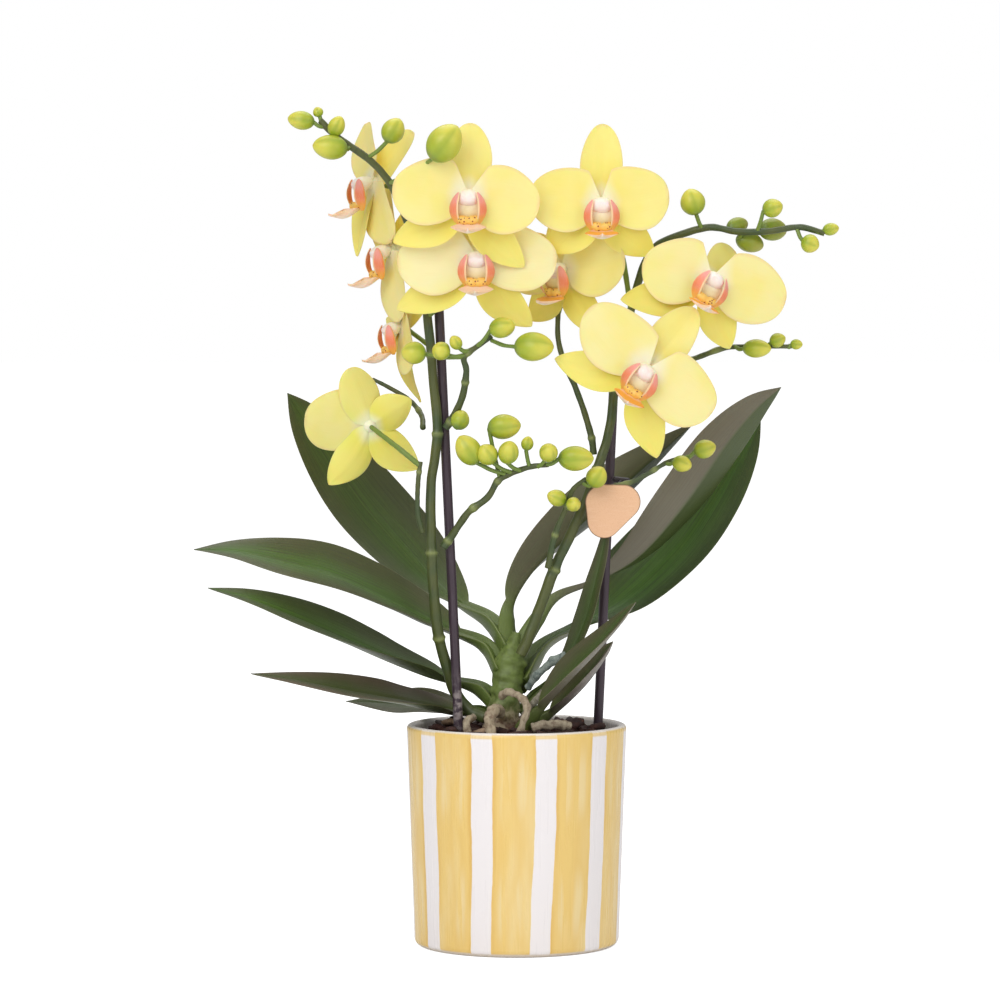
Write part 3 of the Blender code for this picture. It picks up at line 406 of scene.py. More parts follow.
class OrchidPot(bpy.types.PropertyGroup):
    """Sizes and glazes of the cover pot and what stands in it."""

    height: length("Height", "Height of the cover pot", POT_HIGH.z / MM)
    radius: length("Rim radius", "Outer radius of the cover pot at its rim", POT_HIGH.x / MM)
    taper: length("Taper", "How much smaller the radius is at the foot", 3.5)
    wall: length("Wall", "Thickness of the pot's wall", 4)
    stripes: bpy.props.IntProperty(
        name="Stripes", description="Painted stripes round the pot", default=11, min=1)
    white: colour("White glaze", "Ground glaze of the pot", paint(244, 239, 240))
    yellow: colour("Stripe", "Full tone of the painted stripes", paint(241, 206, 122))
    pale: colour("Thin stripe", "Stripe colour where the paint is thin", paint(247, 226, 170))
    amber: colour("Thick stripe", "Stripe colour where the paint pools", paint(224, 178, 88))
    bark: colour("Bark", "Wet bark", paint(70, 38, 30))
    bark_edge: colour("Bark edges", "Dry and broken edges of the bark", paint(150, 96, 70))
    plastic: colour("Grow pot", "Plastic of the grow pot", paint(60, 60, 62))


class OrchidPlant(bpy.types.PropertyGroup):
    """Colours of leaves, stems, buds and roots."""

    thickness: length("Leaf thickness", "Thickness of a leaf at its midrib", 2.0)
    green: colour("Leaf green", "Upper face of the leaves", paint(66, 84, 34))
    bright: colour("Leaf light", "Band beside the midrib of bright leaves", paint(76, 118, 34))
    purple: colour("Leaf purple", "Cast on margins and purple leaves", paint(106, 88, 76))
    under: colour("Underside", "Lower face of the leaves", paint(132, 124, 116))
    petiole: colour("Petiole", "Leaf bases and the crown", paint(100, 118, 54))
    stem: colour("Stem", "Flower spikes", paint(86, 92, 46))
    collar: colour("Collar", "Rings at the nodes of the stems", paint(146, 156, 92))
    pedicel: colour("Pedicel", "Thin stalks of flowers and buds", paint(124, 148, 66))
    bud: colour("Bud", "Sides of the buds", paint(166, 182, 50))
    bud_highlight: colour("Bud light", "Lit top of the buds", paint(220, 214, 84))
    root: colour("Root", "Dry skin of the roots", paint(184, 166, 138))
    root_green: colour("Silver root", "Silver green roots", paint(140, 150, 142))
    stake: colour("Stake", "Support stakes", paint(66, 52, 62))
    tag: colour("Tag", "Thin board of the hanging tag", paint(236, 190, 152))


class OrchidFlower(bpy.types.PropertyGroup):
    """Thickness and colours of the flowers."""

    thickness: length("Petal thickness", "Thickness of a petal", 0.7)
    yellow: colour("Petal", "Main yellow of the petals", paint(252, 234, 142))
    cream: colour("Pale petal", "Yellow of the palest flowers", paint(251, 236, 178))
    sepal: colour("Sepal", "Greener yellow of the sepals", paint(246, 229, 88))
    white: colour("Centre", "Where the petals meet", paint(252, 244, 220))
    peach: colour("Margin", "Thin edge of the petals", paint(246, 214, 152))
    pink: colour("Lobe top", "Top of the lip's side lobes", paint(243, 160, 150))
    coral: colour("Lobe middle", "Middle of the side lobes", paint(241, 136, 92))
    orange: colour("Lobe foot", "Foot of the side lobes and ridge", paint(248, 176, 66))
    blush: colour("Middle lobe", "White pink of the middle lobe", paint(252, 234, 220))
    spot: colour("Spots", "Spots in the throat", paint(150, 60, 34))


class OrchidStage(bpy.types.PropertyGroup):
    """Camera and light."""

    distance: length("Distance", "From the pot's axis to the camera", 2060)
    height: length("Camera height", "Height of the camera", 300)
    aim: length("Aim height", "Height that the camera looks at", 215)
    offset: length("Offset", "How far the camera stands to the left", 8)
    lens: bpy.props.FloatProperty(
        name="Lens", description="Focal length", default=154, min=1, unit="CAMERA")
    sky: bpy.props.FloatProperty(
        name="Room light", description="Strength of the even light", default=0.39, min=0)
    key: bpy.props.FloatProperty(
        name="Key light", description="Power of the large soft light", default=22, unit="POWER")
    fill: bpy.props.FloatProperty(
        name="Fill light", description="Power of the weaker light", default=7, unit="POWER")
    floor: colour("Floor", "Plain floor", (0.93, 0.93, 0.93))


# ---------------------------------------------------------------- curves and grids

def unit(vectors):
    """The vectors, each divided by its length."""
    return vectors / np.linalg.norm(vectors, axis=-1, keepdims=True)


def route_at(points, place):
    """A Catmull-Rom curve through the points, read at places counted in points from the first."""
    knots = np.array(points, float)
    padded = np.vstack([2 * knots[0] - knots[1], knots, 2 * knots[-1] - knots[-2]])
    place = np.clip(place, 0, len(knots) - 1 - 1e-9)
    first = place.astype(int)
    t = (place - first)[:, None]
    a, b, c, d = (padded[first + k] for k in range(4))
    return 0.5 * (2 * b + (c - a) * t + (2 * a - 5 * b + 4 * c - d) * t**2
                  + (3 * b - a - 3 * c + d) * t**3)


def turns(sides, whole=TURN):
    """Even steps round a ring, the last one short of the whole turn."""
    return np.linspace(0, whole, sides, endpoint=False)


def route_frame(line):
    """Two directions square to a line and to each other, which never flip along it."""
    tangent = unit(np.gradient(line, axis=0))
    steady = np.eye(3)[np.argmin(np.abs(tangent).max(axis=0))]
    across = unit(np.cross(tangent, steady))
    return across, np.cross(tangent, across)


def soft_noise(points, scale, seed):
    """A smooth value from -1 to 1 at each point: four sine waves in seeded directions, added."""
    chooser = np.random.default_rng(seed)
    directions = unit(chooser.normal(size=(4, 3))) * chooser.uniform(0.7, 1.6, (4, 1)) / scale
    shifts = chooser.uniform(0, TURN, 4)
    return np.sin(points @ directions.T * TURN + shifts).mean(axis=-1) * 1.6


class Skin:
    """Closed shapes gathered into one mesh. Each is a stack of rings whose ends are drawn
    together in one point, with named values at its points for the materials to read."""

    VALUES = ("along", "side", "front", "tone", "warmth")

    def __init__(self):
        self.points = []
        self.faces = []
        self.values = {name: [] for name in self.VALUES}
        self.slots = []
        self.count = 0

    def add(self, rings, slot=0, **values):
        """rings is (number, points round, 3), in millimetres. Faces run between neighbouring
        rings and fan out from the mean point of the first and of the last."""
        number, around = rings.shape[:2]
        index = np.arange(number * around).reshape(number, around)
        after = np.roll(index, -1, axis=1)
        quads = np.stack([index[:-1], after[:-1], after[1:], index[1:]], -1).reshape(-1, 4)
        foot, head = number * around, number * around + 1
        fans = np.concatenate([
            np.stack([after[0], index[0], np.full(around, foot)], -1),
            np.stack([index[-1], after[-1], np.full(around, head)], -1)])
        points = np.vstack([rings.reshape(-1, 3), rings[0].mean(0), rings[-1].mean(0)])
        corners = np.concatenate([quads[:, [0, 1, 2]], quads[:, [0, 2, 3]], fans])
        a, b, c = (points[corners[:, k]] for k in range(3))
        if np.einsum("ij,ij->i", a, np.cross(b, c)).sum() < 0:
            quads, fans = quads[:, ::-1], fans[:, ::-1]
        self.points.append(points)
        self.faces += (quads + self.count).tolist() + (fans + self.count).tolist()
        self.slots += [slot] * (len(quads) + len(fans))
        for name in self.VALUES:
            grid = np.broadcast_to(values.get(name, 0.0), (number, around))
            self.values[name].append(np.r_[grid.ravel(), grid[0].mean(), grid[-1].mean()])
        self.count += len(points)

    def turned(self, spin, shift):
        """Carries every point gathered so far through a 3 by 3 and a shift."""
        self.points = [points @ spin.T + shift for points in self.points]

    def piece(self, name, materials):
        """Makes the object, which stands for the CAD node of its name."""
        mesh = bpy.data.meshes.new(name)
        mesh.from_pydata(np.vstack(self.points) * MM, [], self.faces)
        for key, lists in self.values.items():
            layer = mesh.attributes.new(key, "FLOAT", "POINT")
            layer.data.foreach_set("value", np.concatenate(lists).astype(np.float32))
        for material in materials:
            mesh.materials.append(material)
        mesh.polygons.foreach_set("material_index", self.slots)
        mesh.shade_smooth()
        mesh.update()
        obj = bpy.data.objects.new(f"{name}_look", mesh)
        bpy.context.scene.collection.objects.link(obj)
        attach(obj, "root")
        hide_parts(name)


def tube_rings(line, radius, sides):
    """Circles round a line: centre plus radius times the cosine of the turn in one direction
    and its sine in the other."""
    across, up = route_frame(line)
    turn = turns(sides)[:, None]
    radius = np.broadcast_to(radius, (len(line),))[:, None, None]
    return line[:, None] + radius * (np.cos(turn) * across[:, None] + np.sin(turn) * up[:, None])


def roughened(rings, line, height, scale, seed):
    """The rings, pushed away from their line and towards it by a smooth noise of that height."""
    push = np.reshape(height, (-1, 1, 1)) * soft_noise(rings, scale, seed)[..., None]
    return rings + push * unit(rings - line[:, None])


def blade_rings(middle, normal, thickness, turn):
    """A thin leaf with two faces: round each ring, the middle surface is read at the cosine of
    the turn, and moved along the normal by half the thickness times its sine."""
    return middle + normal * (thickness / 2 * np.sin(turn))[..., None]


# ---------------------------------------------------------------- materials

class Finish:
    """A material under construction: its nodes are added and linked by short calls."""

    def __init__(self, name):
        self.material = bpy.data.materials.new(name)
        self.material.use_nodes = True
        self.tree = self.material.node_tree
        self.shader = self.tree.nodes["Principled BSDF"]
        self.place = self.tree.nodes.new("ShaderNodeTexCoord").outputs["Object"]

    def put(self, socket, value):
        """Links a socket to another one, or sets its number or colour."""
        if isinstance(value, bpy.types.NodeSocket):
            self.tree.links.new(value, socket)
        elif socket.type == "RGBA":
            socket.default_value = (*value[:3], 1.0)
        else:
            socket.default_value = value

    def node(self, kind, settings=(), **inputs):
        """A new node with its settings made and its inputs put in by name."""
        made = self.tree.nodes.new(kind)
        for key, value in dict(settings).items():
            setattr(made, key, value)
        for key, value in inputs.items():
            self.put(made.inputs[key.replace("_", " ")], value)
        return made

    def value(self, name):
        """A named value of the mesh's points."""
        return self.node("ShaderNodeAttribute", {"attribute_name": name}).outputs["Fac"]

    def fill(self, kind, settings, *terms):
        """The first output of a new node whose inputs take the terms in their order."""
        made = self.node(kind, settings)
        for socket, term in zip(made.inputs, terms):
            self.put(socket, term)
        return made.outputs[0]

    def math(self, operation, *terms):
        """A Math node."""
        return self.fill("ShaderNodeMath", {"operation": operation}, *terms)

    def plus(self, first, second):
        return self.math("ADD", first, second)

    def minus(self, first, second):
        return self.math("SUBTRACT", first, second)

    def times(self, first, second):
        return self.math("MULTIPLY", first, second)

    def step(self, value, low, high, start=0.0, end=1.0):
        """A smooth rise from start to end as the value passes from low to high."""
        made = self.node("ShaderNodeMapRange", {"interpolation_type": "SMOOTHSTEP"})
        for key, term in (("Value", value), ("From Min", low), ("From Max", high),
                          ("To Min", start), ("To Max", end)):
            self.put(made.inputs[key], term)
        return made.outputs["Result"]

    def mix(self, share, first, second, blend="MIX"):
        """Two colours mixed by a share."""
        made = self.node("ShaderNodeMix", {"data_type": "RGBA", "blend_type": blend})
        for number, term in ((0, share), (6, first), (7, second)):
            self.put(made.inputs[number], term)
        return made.outputs[2]

    def noise(self, scale, stretch=(1, 1, 1), detail=3.0, place=None, rough=0.55):
        """Noise over the place, finer along an axis where stretch is larger."""
        spread = self.node("ShaderNodeMapping", Vector=place or self.place, Scale=stretch)
        made = self.node("ShaderNodeTexNoise", Vector=spread.outputs[0], Scale=scale,
                         Detail=detail, Roughness=rough)
        return made.outputs["Fac"]

    def flow(self, across, down, shift=0.0):
        """A place that follows a surface: its side and along values, each scaled, and a shift."""
        return self.fill("ShaderNodeCombineXYZ", (), self.times(self.value("side"), across),
                         self.times(self.value("along"), down), shift)

    def bump(self, height, strength, distance):
        """Relief from a height, its distance in metres."""
        made = self.node("ShaderNodeBump", Height=height, Strength=strength, Distance=distance)
        self.tree.links.new(made.outputs[0], self.shader.inputs["Normal"])

    def done(self, base, roughness, **constants):
        """Puts in colour and roughness, and sets numbers on the shader's other sockets."""
        self.put(self.shader.inputs["Base Color"], base)
        self.put(self.shader.inputs["Roughness"], roughness)
        for key, value in constants.items():
            self.shader.inputs[key.replace("_", " ")].default_value = value
        return self.material


def glaze_finish(look):
    """Painted stripes under a clear glaze. The stripes follow the angle round the pot, with a
    slow wobble; inside each the paint is thin in a few long strokes and pools at its borders."""
    made = Finish("striped_glaze")
    split = made.node("ShaderNodeSeparateXYZ", Vector=made.place)
    x, y, z = split.outputs
    angle = made.math("ARCTAN2", x, made.times(y, -1.0))
    wobble = made.noise(1.0, (9, 9, 14), 2.0)
    drift = made.times(made.minus(wobble, 0.5), 0.13)
    uneven = made.times(made.math("SINE", angle), -0.035)
    turned = made.plus(made.plus(angle, uneven), drift)
    share = made.times(made.plus(turned, FIRST_STRIPE), look.stripes / TURN)
    # The edge is 0 in the middle of the bare glaze and 0.5 in the middle of a stripe. Twenty
    # whole stripes are added first, so that the fraction is taken of a positive number.
    phase = made.minus(made.math("FRACT", made.plus(share, 20.5)), 0.5)
    ragged = made.times(made.minus(made.noise(1.0, (60, 60, 160)), 0.5), 0.02)
    edge = made.plus(made.math("ABSOLUTE", phase), ragged)
    painted = made.step(edge, 0.164, 0.178)

    strokes = made.noise(1.0, (300, 300, 9), 4.0, rough=0.6)
    broad = made.noise(1.0, (70, 70, 16), 2.0)
    high, low = (made.math("ABSOLUTE", made.minus(z, level * MM)) for level in (82, 24))
    patch = made.step(made.math("MINIMUM", high, low), 24 * MM, 4 * MM)
    core = made.step(made.math("ABSOLUTE", made.minus(edge, 0.36)), 0.14, 0.02)
    thin = made.times(made.times(patch, core), made.step(strokes, 0.38, 0.62))
    thin = made.math("MAXIMUM", thin, made.times(made.step(broad, 0.45, 0.75), 0.6))
    pooled = made.step(edge, 0.25, 0.19)
    pooled = made.times(pooled, made.step(broad, 0.65, 0.3))
    yellow = made.mix(thin, look.yellow, look.pale)
    yellow = made.mix(made.times(pooled, 0.65), yellow, look.amber)
    streak = made.times(made.step(strokes, 0.3, 0.7), 0.22)
    yellow = made.mix(streak, yellow, look.amber)
    glaze = made.mix(painted, look.white, yellow)

    radius = made.math("SQRT", made.plus(made.times(x, x),
                                       made.times(y, y)))
    outer = made.plus(look.radius - look.taper, made.times(z, look.taper / look.height))
    outside = made.step(made.minus(outer, radius), 1.5 * MM, 0.6 * MM)
    line = made.step(z, look.height - 3.2 * MM, look.height - 2.2 * MM)
    line = made.times(line, made.step(z, look.height - 0.5 * MM, look.height - 1.2 * MM))
    glaze = made.mix(made.times(line, 0.75), glaze, look.yellow)
    lip = made.mix(0.35, look.white, look.pale)
    glaze = made.mix(made.step(z, look.height - 1.2 * MM, look.height - 0.3 * MM), glaze, lip)
    glaze = made.mix(outside, made.mix(0.12, look.white, look.pale), glaze)
    foot = made.step(z, 1.2 * MM, 2.4 * MM)
    glaze = made.mix(foot, paint(226, 214, 200), glaze)

    height = made.plus(made.times(made.noise(60.0), 0.7),
                      made.times(painted, 0.15))
    made.bump(height, 0.25, 0.5 * MM)
    return made.done(glaze, made.step(strokes, 0.2, 0.8, 0.22, 0.36), Coat_Weight=0.15,
                     Coat_Roughness=0.08)


def bark_finish(look):
    """Dark wet bark: fibres along the chip, with paler, redder broken edges."""
    made = Finish("bark")
    fibres = made.noise(1.0, (260, 900, 500), 5.0, rough=0.65)
    patches = made.noise(120.0, detail=3.0)
    dark = made.mix(made.step(patches, 0.35, 0.7), look.bark, paint(44, 26, 24))
    broken = made.times(made.step(fibres, 0.55, 0.8), made.step(patches, 0.4, 0.65))
    base = made.mix(broken, dark, look.bark_edge)
    base = made.mix(made.times(made.value("tone"), 0.75), base, paint(190, 160, 130))
    made.bump(fibres, 0.8, 0.8 * MM)
    return made.done(base, made.step(fibres, 0.3, 0.8, 0.55, 0.9))


def leaf_finish(look):
    """Leathery leaf: dark green upper face, greener beside the midrib, fine veins along it,
    purple towards the margins; a purple grey underside, its one half painted dark green as shade;
    petioles turn light green."""
    made = Finish("leaf")
    along = made.value("along")
    side = made.value("side")
    width = made.math("ABSOLUTE", side)
    veins = made.noise(2.2, detail=4.0, place=made.flow(16.0, 2.2, made.value("tone")))
    cloud = made.noise(28.0, detail=3.0)
    centre = made.step(made.plus(width, made.times(cloud, 0.5)), 1.05, 0.25)
    upper = made.mix(made.times(centre, made.plus(made.value("warmth"), 0.15)),
                     look.green, look.bright)
    upper = made.mix(made.step(veins, 0.35, 0.75), upper,
                     made.mix(0.35, look.green, paint(30, 46, 22)))
    cast = made.times(made.value("tone"), made.step(width, 0.15, 1.05, 0.35, 1.0))
    cast = made.times(cast, made.step(cloud, 0.25, 0.7, 0.6, 1.0))
    upper = made.mix(cast, upper, look.purple)
    under = made.mix(made.value("tone"), paint(100, 104, 66), look.under)
    under = made.mix(made.step(veins, 0.3, 0.8, 0.0, 0.5), under, look.purple)
    # painted shade: the underside's half on the negative side takes the upper face's dark green
    under = made.mix(made.step(side, 0.1, -0.1, 0.0, 0.85), under, look.green)
    skin = made.mix(made.value("front"), under, upper)
    base = made.mix(made.step(along, 0.30, 0.02, 0.0, 0.9), skin, look.petiole)
    base = made.mix(made.step(width, 0.98, 1.0, 0.0, 0.25), base, paint(140, 136, 86))
    base = made.mix(made.step(width, 0.04, 0.0, 0.0, 0.18), base, paint(96, 118, 50))
    made.bump(made.plus(veins, made.times(cloud, 0.5)), 0.35, 0.5 * MM)
    return made.done(base, made.step(veins, 0.2, 0.8, 0.34, 0.46), Specular_IOR_Level=0.5)


def crown_finish(look):
    """Overlapping leaf bases: light green above, drying to brown and tan low down."""
    made = Finish("crown")
    rise = made.value("along")
    mottle = made.noise(260.0, detail=4.0)
    base = made.mix(made.step(mottle, 0.35, 0.7), paint(116, 134, 66), paint(94, 108, 52))
    low = made.mix(made.step(mottle, 0.4, 0.6), look.root, paint(116, 84, 66))
    base = made.mix(made.step(made.plus(rise, made.times(mottle, 0.3)), 0.62, 0.38),
                    base, low)
    made.bump(mottle, 0.5, 0.6 * MM)
    return made.done(base, 0.5)


def stem_finish(look):
    """Olive stem with fine darker flecks, and pale rings where the value front is 1."""
    made = Finish("stem")
    flecks = made.noise(1.0, (500, 500, 160), 4.0, rough=0.6)
    cloud = made.noise(60.0, detail=2.0)
    base = made.mix(made.step(cloud, 0.35, 0.7), look.stem, paint(66, 82, 48))
    base = made.mix(made.step(flecks, 0.55, 0.75, 0.0, 0.55), base, paint(58, 62, 42))
    base = made.mix(made.value("front"), base, look.collar)
    base = made.mix(made.value("warmth"), base, look.pedicel)
    made.bump(flecks, 0.35, 0.3 * MM)
    return made.done(base, 0.42)


def bud_finish(look):
    """Bud: yellow green with a painted highlight towards its round tip, darker seams where the
    front is 1, and painted shade on the buds that stand behind the spikes.
    """
    made = Finish("bud")
    mottle = made.noise(180.0, detail=3.0)
    # painted highlight: the bud is painted lighter and yellower towards its tip
    light = made.step(made.plus(made.value("along"), made.times(mottle, 0.4)),
                      0.35, 1.15)
    base = made.mix(light, look.bud, look.bud_highlight)
    base = made.mix(made.times(made.value("front"), 0.5), base, paint(134, 160, 46))
    base = made.mix(made.step(made.value("along"), 0.22, 0.0), base, look.pedicel)
    # painted shade: buds that stand behind the spikes, where the tone is 1, are painted darker
    base = made.mix(made.value("tone"), base, paint(96, 112, 44))
    made.bump(made.minus(mottle, made.value("front")), 0.3, 0.3 * MM)
    return made.done(base, 0.36, Subsurface_Weight=0.12, Subsurface_Scale=2 * MM)


def petal_finish(look):
    """Petals and sepals: white where they meet, yellow outwards, greener on sepals, cream on
    the palest flowers, a thin peach margin, and fine veins that run out from the centre."""
    made = Finish("petal")
    along = made.value("along")
    width = made.math("ABSOLUTE", made.value("side"))
    veins = made.noise(1.6, place=made.flow(15.0, 1.6, made.value("tone")))
    cloud = made.noise(45.0, detail=2.0)
    yellow = made.mix(made.value("warmth"), look.yellow, look.cream)
    sepal = made.mix(made.step(along, 0.15, 0.7), look.sepal, look.yellow)
    sepal = made.mix(0.45, sepal, look.sepal)
    base = made.mix(made.value("tone"), yellow, sepal)
    base = made.mix(made.step(cloud, 0.35, 0.7, 0.0, 0.35), base, look.sepal)
    base = made.mix(made.step(veins, 0.52, 0.72, 0.0, 0.07), base, paint(232, 204, 100))
    rim = made.math("MAXIMUM", made.step(width, 0.86, 1.0), made.step(along, 0.93, 1.0))
    rim = made.times(rim, made.minus(0.75, made.times(made.value("tone"), 0.45)))
    base = made.mix(rim, base, look.peach)
    heart = made.step(made.plus(along, made.times(width, 0.12)), 0.34, 0.12)
    base = made.mix(made.times(heart, 0.85), base, look.white)
    back = made.times(made.minus(1.0, made.value("front")), 0.25)
    base = made.mix(back, base, paint(226, 222, 120))
    made.bump(made.plus(veins, made.times(cloud, 0.6)), 0.14, 0.4 * MM)
    return made.done(base, 0.55, Subsurface_Weight=0.25, Subsurface_Scale=2.5 * MM,
                     Sheen_Weight=0.05)


def column_finish(look):
    """The column: white with a pink cast towards its tip."""
    made = Finish("column")
    mottle = made.noise(500.0, detail=2.0)
    base = made.mix(made.step(made.value("along"), 0.3, 0.9), look.white, paint(255, 242, 234))
    base = made.mix(made.step(mottle, 0.45, 0.7, 0.0, 0.14), base, look.pink)
    made.bump(mottle, 0.2, 0.2 * MM)
    return made.done(base, 0.5, Subsurface_Weight=0.2, Subsurface_Scale=2 * MM)


def lip_finish(look):
    """Side lobes: orange at the foot, coral, then pink at the top, cream on the inner margin."""
    made = Finish("side_lobe")
    along = made.value("along")
    side = made.value("side")
    streaks = made.noise(2.4, place=made.flow(6.0, 2.0))
    base = made.mix(made.step(along, 0.08, 0.42), look.orange, look.coral)
    base = made.mix(made.step(along, 0.45, 0.92), base, look.pink)
    base = made.mix(made.step(streaks, 0.5, 0.75, 0.0, 0.35), base, look.blush)
    base = made.mix(made.step(side, -0.72, -0.92, 0.0, 0.8), base, paint(252, 226, 176))
    base = made.mix(made.step(side, 0.70, 0.95, 0.0, 0.75), base, look.orange)
    made.bump(streaks, 0.2, 0.3 * MM)
    return made.done(base, 0.45, Subsurface_Weight=0.2, Subsurface_Scale=1.5 * MM)


def throat_finish(look):
    """Callus and throat: orange yellow with small brown spots in rows."""
    made = Finish("throat")
    spots = made.node("ShaderNodeTexVoronoi", {"feature": "F1"}, Vector=made.place, Scale=620.0)
    base = made.mix(made.noise(400.0), look.orange, paint(250, 222, 120))
    base = made.mix(made.step(spots.outputs["Distance"], 0.30, 0.22), base, look.spot)
    made.bump(spots.outputs["Distance"], 0.3, 0.2 * MM)
    return made.done(base, 0.4, Subsurface_Weight=0.15, Subsurface_Scale=1.5 * MM)


def hollow_finish(look):
    """The wall behind the column: pale olive yellow, whiter above."""
    made = Finish("hollow")
    mottle = made.noise(300.0, detail=3.0)
    base = made.mix(made.step(made.value("along"), 0.25, 0.8), paint(244, 232, 176), look.white)
    base = made.mix(made.step(mottle, 0.45, 0.75, 0.0, 0.4), base, paint(226, 212, 140))
    made.bump(mottle, 0.2, 0.2 * MM)
    return made.done(base, 0.5)


def tongue_finish(look):
    """Middle lobe: an orange ridge down its middle, white pink towards its margins."""
    made = Finish("middle_lobe")
    along = made.value("along")
    width = made.math("ABSOLUTE", made.value("side"))
    mottle = made.noise(420.0, detail=3.0)
    band = made.step(made.math("ABSOLUTE", made.minus(along, 0.3)), 0.24, 0.08)
    margin = made.step(width, 0.35, 0.9)
    ridge = made.times(band, made.value("warmth"))
    ridge = made.math("MAXIMUM", ridge, made.times(margin, 0.4))
    base = made.mix(ridge, look.blush, look.orange)
    base = made.mix(made.step(mottle, 0.55, 0.8, 0.0, 0.25), base, look.pink)
    base = made.mix(made.step(along, 0.2, 0.0, 0.0, 0.8), base, look.orange)
    made.bump(mottle, 0.2, 0.2 * MM)
    return made.done(base, 0.45, Subsurface_Weight=0.2, Subsurface_Scale=1.5 * MM)


def root_finish(look):
    """Dry papery root skin: wrinkles along it, tan with brown scars, or silver green."""
    made = Finish("root")
    wrinkles = made.noise(1.0, (350, 350, 350), 5.0, rough=0.65)
    strands = made.noise(2.0, detail=4.0, place=made.flow(5.0, 12.0))
    tan = made.mix(made.step(wrinkles, 0.4, 0.7), look.root, paint(140, 116, 94))
    silver = made.mix(made.step(wrinkles, 0.45, 0.62), look.root_green, paint(96, 108, 104))
    base = made.mix(made.value("tone"), tan, silver)
    base = made.mix(made.step(strands, 0.6, 0.8, 0.0, 0.6), base, paint(104, 78, 62))
    made.bump(made.plus(wrinkles, strands), 0.7, 0.6 * MM)
    return made.done(base, 0.8)


def stake_finish(look):
    """Dark smooth plastic with faint scuffs, and chalky residue near the foot."""
    made = Finish("stake")
    scuffs = made.noise(1.0, (900, 900, 60), 4.0)
    base = made.mix(made.step(scuffs, 0.5, 0.75, 0.0, 0.35), look.stake, paint(96, 82, 92))
    chalk = made.times(made.value("tone"), made.step(made.noise(300.0), 0.42, 0.6))
    base = made.mix(chalk, base, paint(172, 160, 158))
    made.bump(scuffs, 0.2, 0.2 * MM)
    return made.done(base, made.step(scuffs, 0.3, 0.8, 0.3, 0.5))


def tag_finish(look):
    """Thin pale board: short fibres lying every way, and a darker cut edge."""
    made = Finish("tag_board")
    fibres = made.noise(1.0, (2200, 900, 2200), 4.0, rough=0.7)
    grain = made.noise(1.0, (160, 160, 1100), 3.0)
    base = made.mix(made.step(fibres, 0.45, 0.75, 0.0, 0.45), look.tag, paint(216, 160, 120))
    base = made.mix(made.step(grain, 0.5, 0.8, 0.0, 0.3), base, paint(250, 214, 180))
    base = made.mix(made.step(made.value("side"), 0.955, 0.99, 0.0, 0.8), base, paint(96, 66, 48))
    made.bump(fibres, 0.3, 0.15 * MM)
    return made.done(base, 0.7)


def clip_finish():
    """Dark moulded plastic."""
    made = Finish("clip_plastic")
    grain = made.noise(1500.0)
    base = made.mix(grain, paint(38, 30, 38), paint(58, 50, 58))
    made.bump(grain, 0.3, 0.1 * MM)
    return made.done(base, 0.4)


def plastic_finish(look):
    """Thin grey grow pot plastic with a faint moulded grain."""
    made = Finish("grow_pot_plastic")
    grain = made.noise(700.0)
    base = made.mix(grain, look.plastic, paint(80, 80, 82))
    made.bump(grain, 0.2, 0.1 * MM)
    return made.done(base, 0.38)


def floor_finish(look):
    """Matt pale floor with an almost unseen grain."""
    made = Finish("floor")
    base = made.mix(made.noise(3.0), look.floor, tuple(0.985 * c for c in look.floor))
    seen = made.node("ShaderNodeLightPath").outputs["Is Camera Ray"]
    made.put(made.shader.inputs["Emission Strength"], made.times(seen, 0.75))
    return made.done(base, 0.9, Specular_IOR_Level=0.1, Emission_Color=(1, 1, 1, 1))


# ---------------------------------------------------------------- pot, grow pot and bark

def corner(centre, radius, start, end, steps):
    """Points of a circular arc in a (radius, height) profile."""
    turn = np.radians(np.linspace(start, end, steps + 1))
    return np.stack([centre[0] + radius * np.cos(turn), centre[1] + radius * np.sin(turn)], -1)


def lathe(profile, sides, wander=0.0):
    """A profile of (radius, height) carried round the Z axis, with a slow wander of its radius
    in per cent, as a shape thrown by hand has."""
    turn = turns(sides)
    radius, height = profile[:, :1], profile[:, 1:]
    drift = 1 + wander * (np.sin(2 * turn + 0.6) + 0.5 * np.sin(3 * turn + height / 40))
    x = radius * np.cos(turn) * drift
    y = radius * np.sin(turn) * drift
    return np.stack([x, y, np.broadcast_to(height, x.shape)], -1)


def build_pot(look):
    """Floor inside, wall, rounded rim, straight tapering outside and rounded foot."""
    radius, height, wall = (value / MM for value in (look.radius, look.height, look.wall))
    foot = radius - look.taper / MM
    half = wall / 2
    profile = np.vstack([
        [(0.3, 6), (foot - wall - 4, 6)],
        corner((foot - wall - 4, 10), 4, -90, -10, 6),
        np.linspace((foot - wall, 14), (radius - wall, height - half - 1), 20),
        corner((radius - half, height - half), half, 180, 0, 12),
        np.linspace((radius, height - half - 1), (foot, 5), 40),
        corner((foot - 4, 4), 4, 0, -80, 8),
        [(foot - 8, 0.0), (foot - 9, 1.0), (foot - 12, 1.2), (0.3, 1.2)],
    ])
    skin = Skin()
    skin.add(lathe(profile, 160, 0.0012))
    skin.piece("ceramic_pot", [glaze_finish(look)])


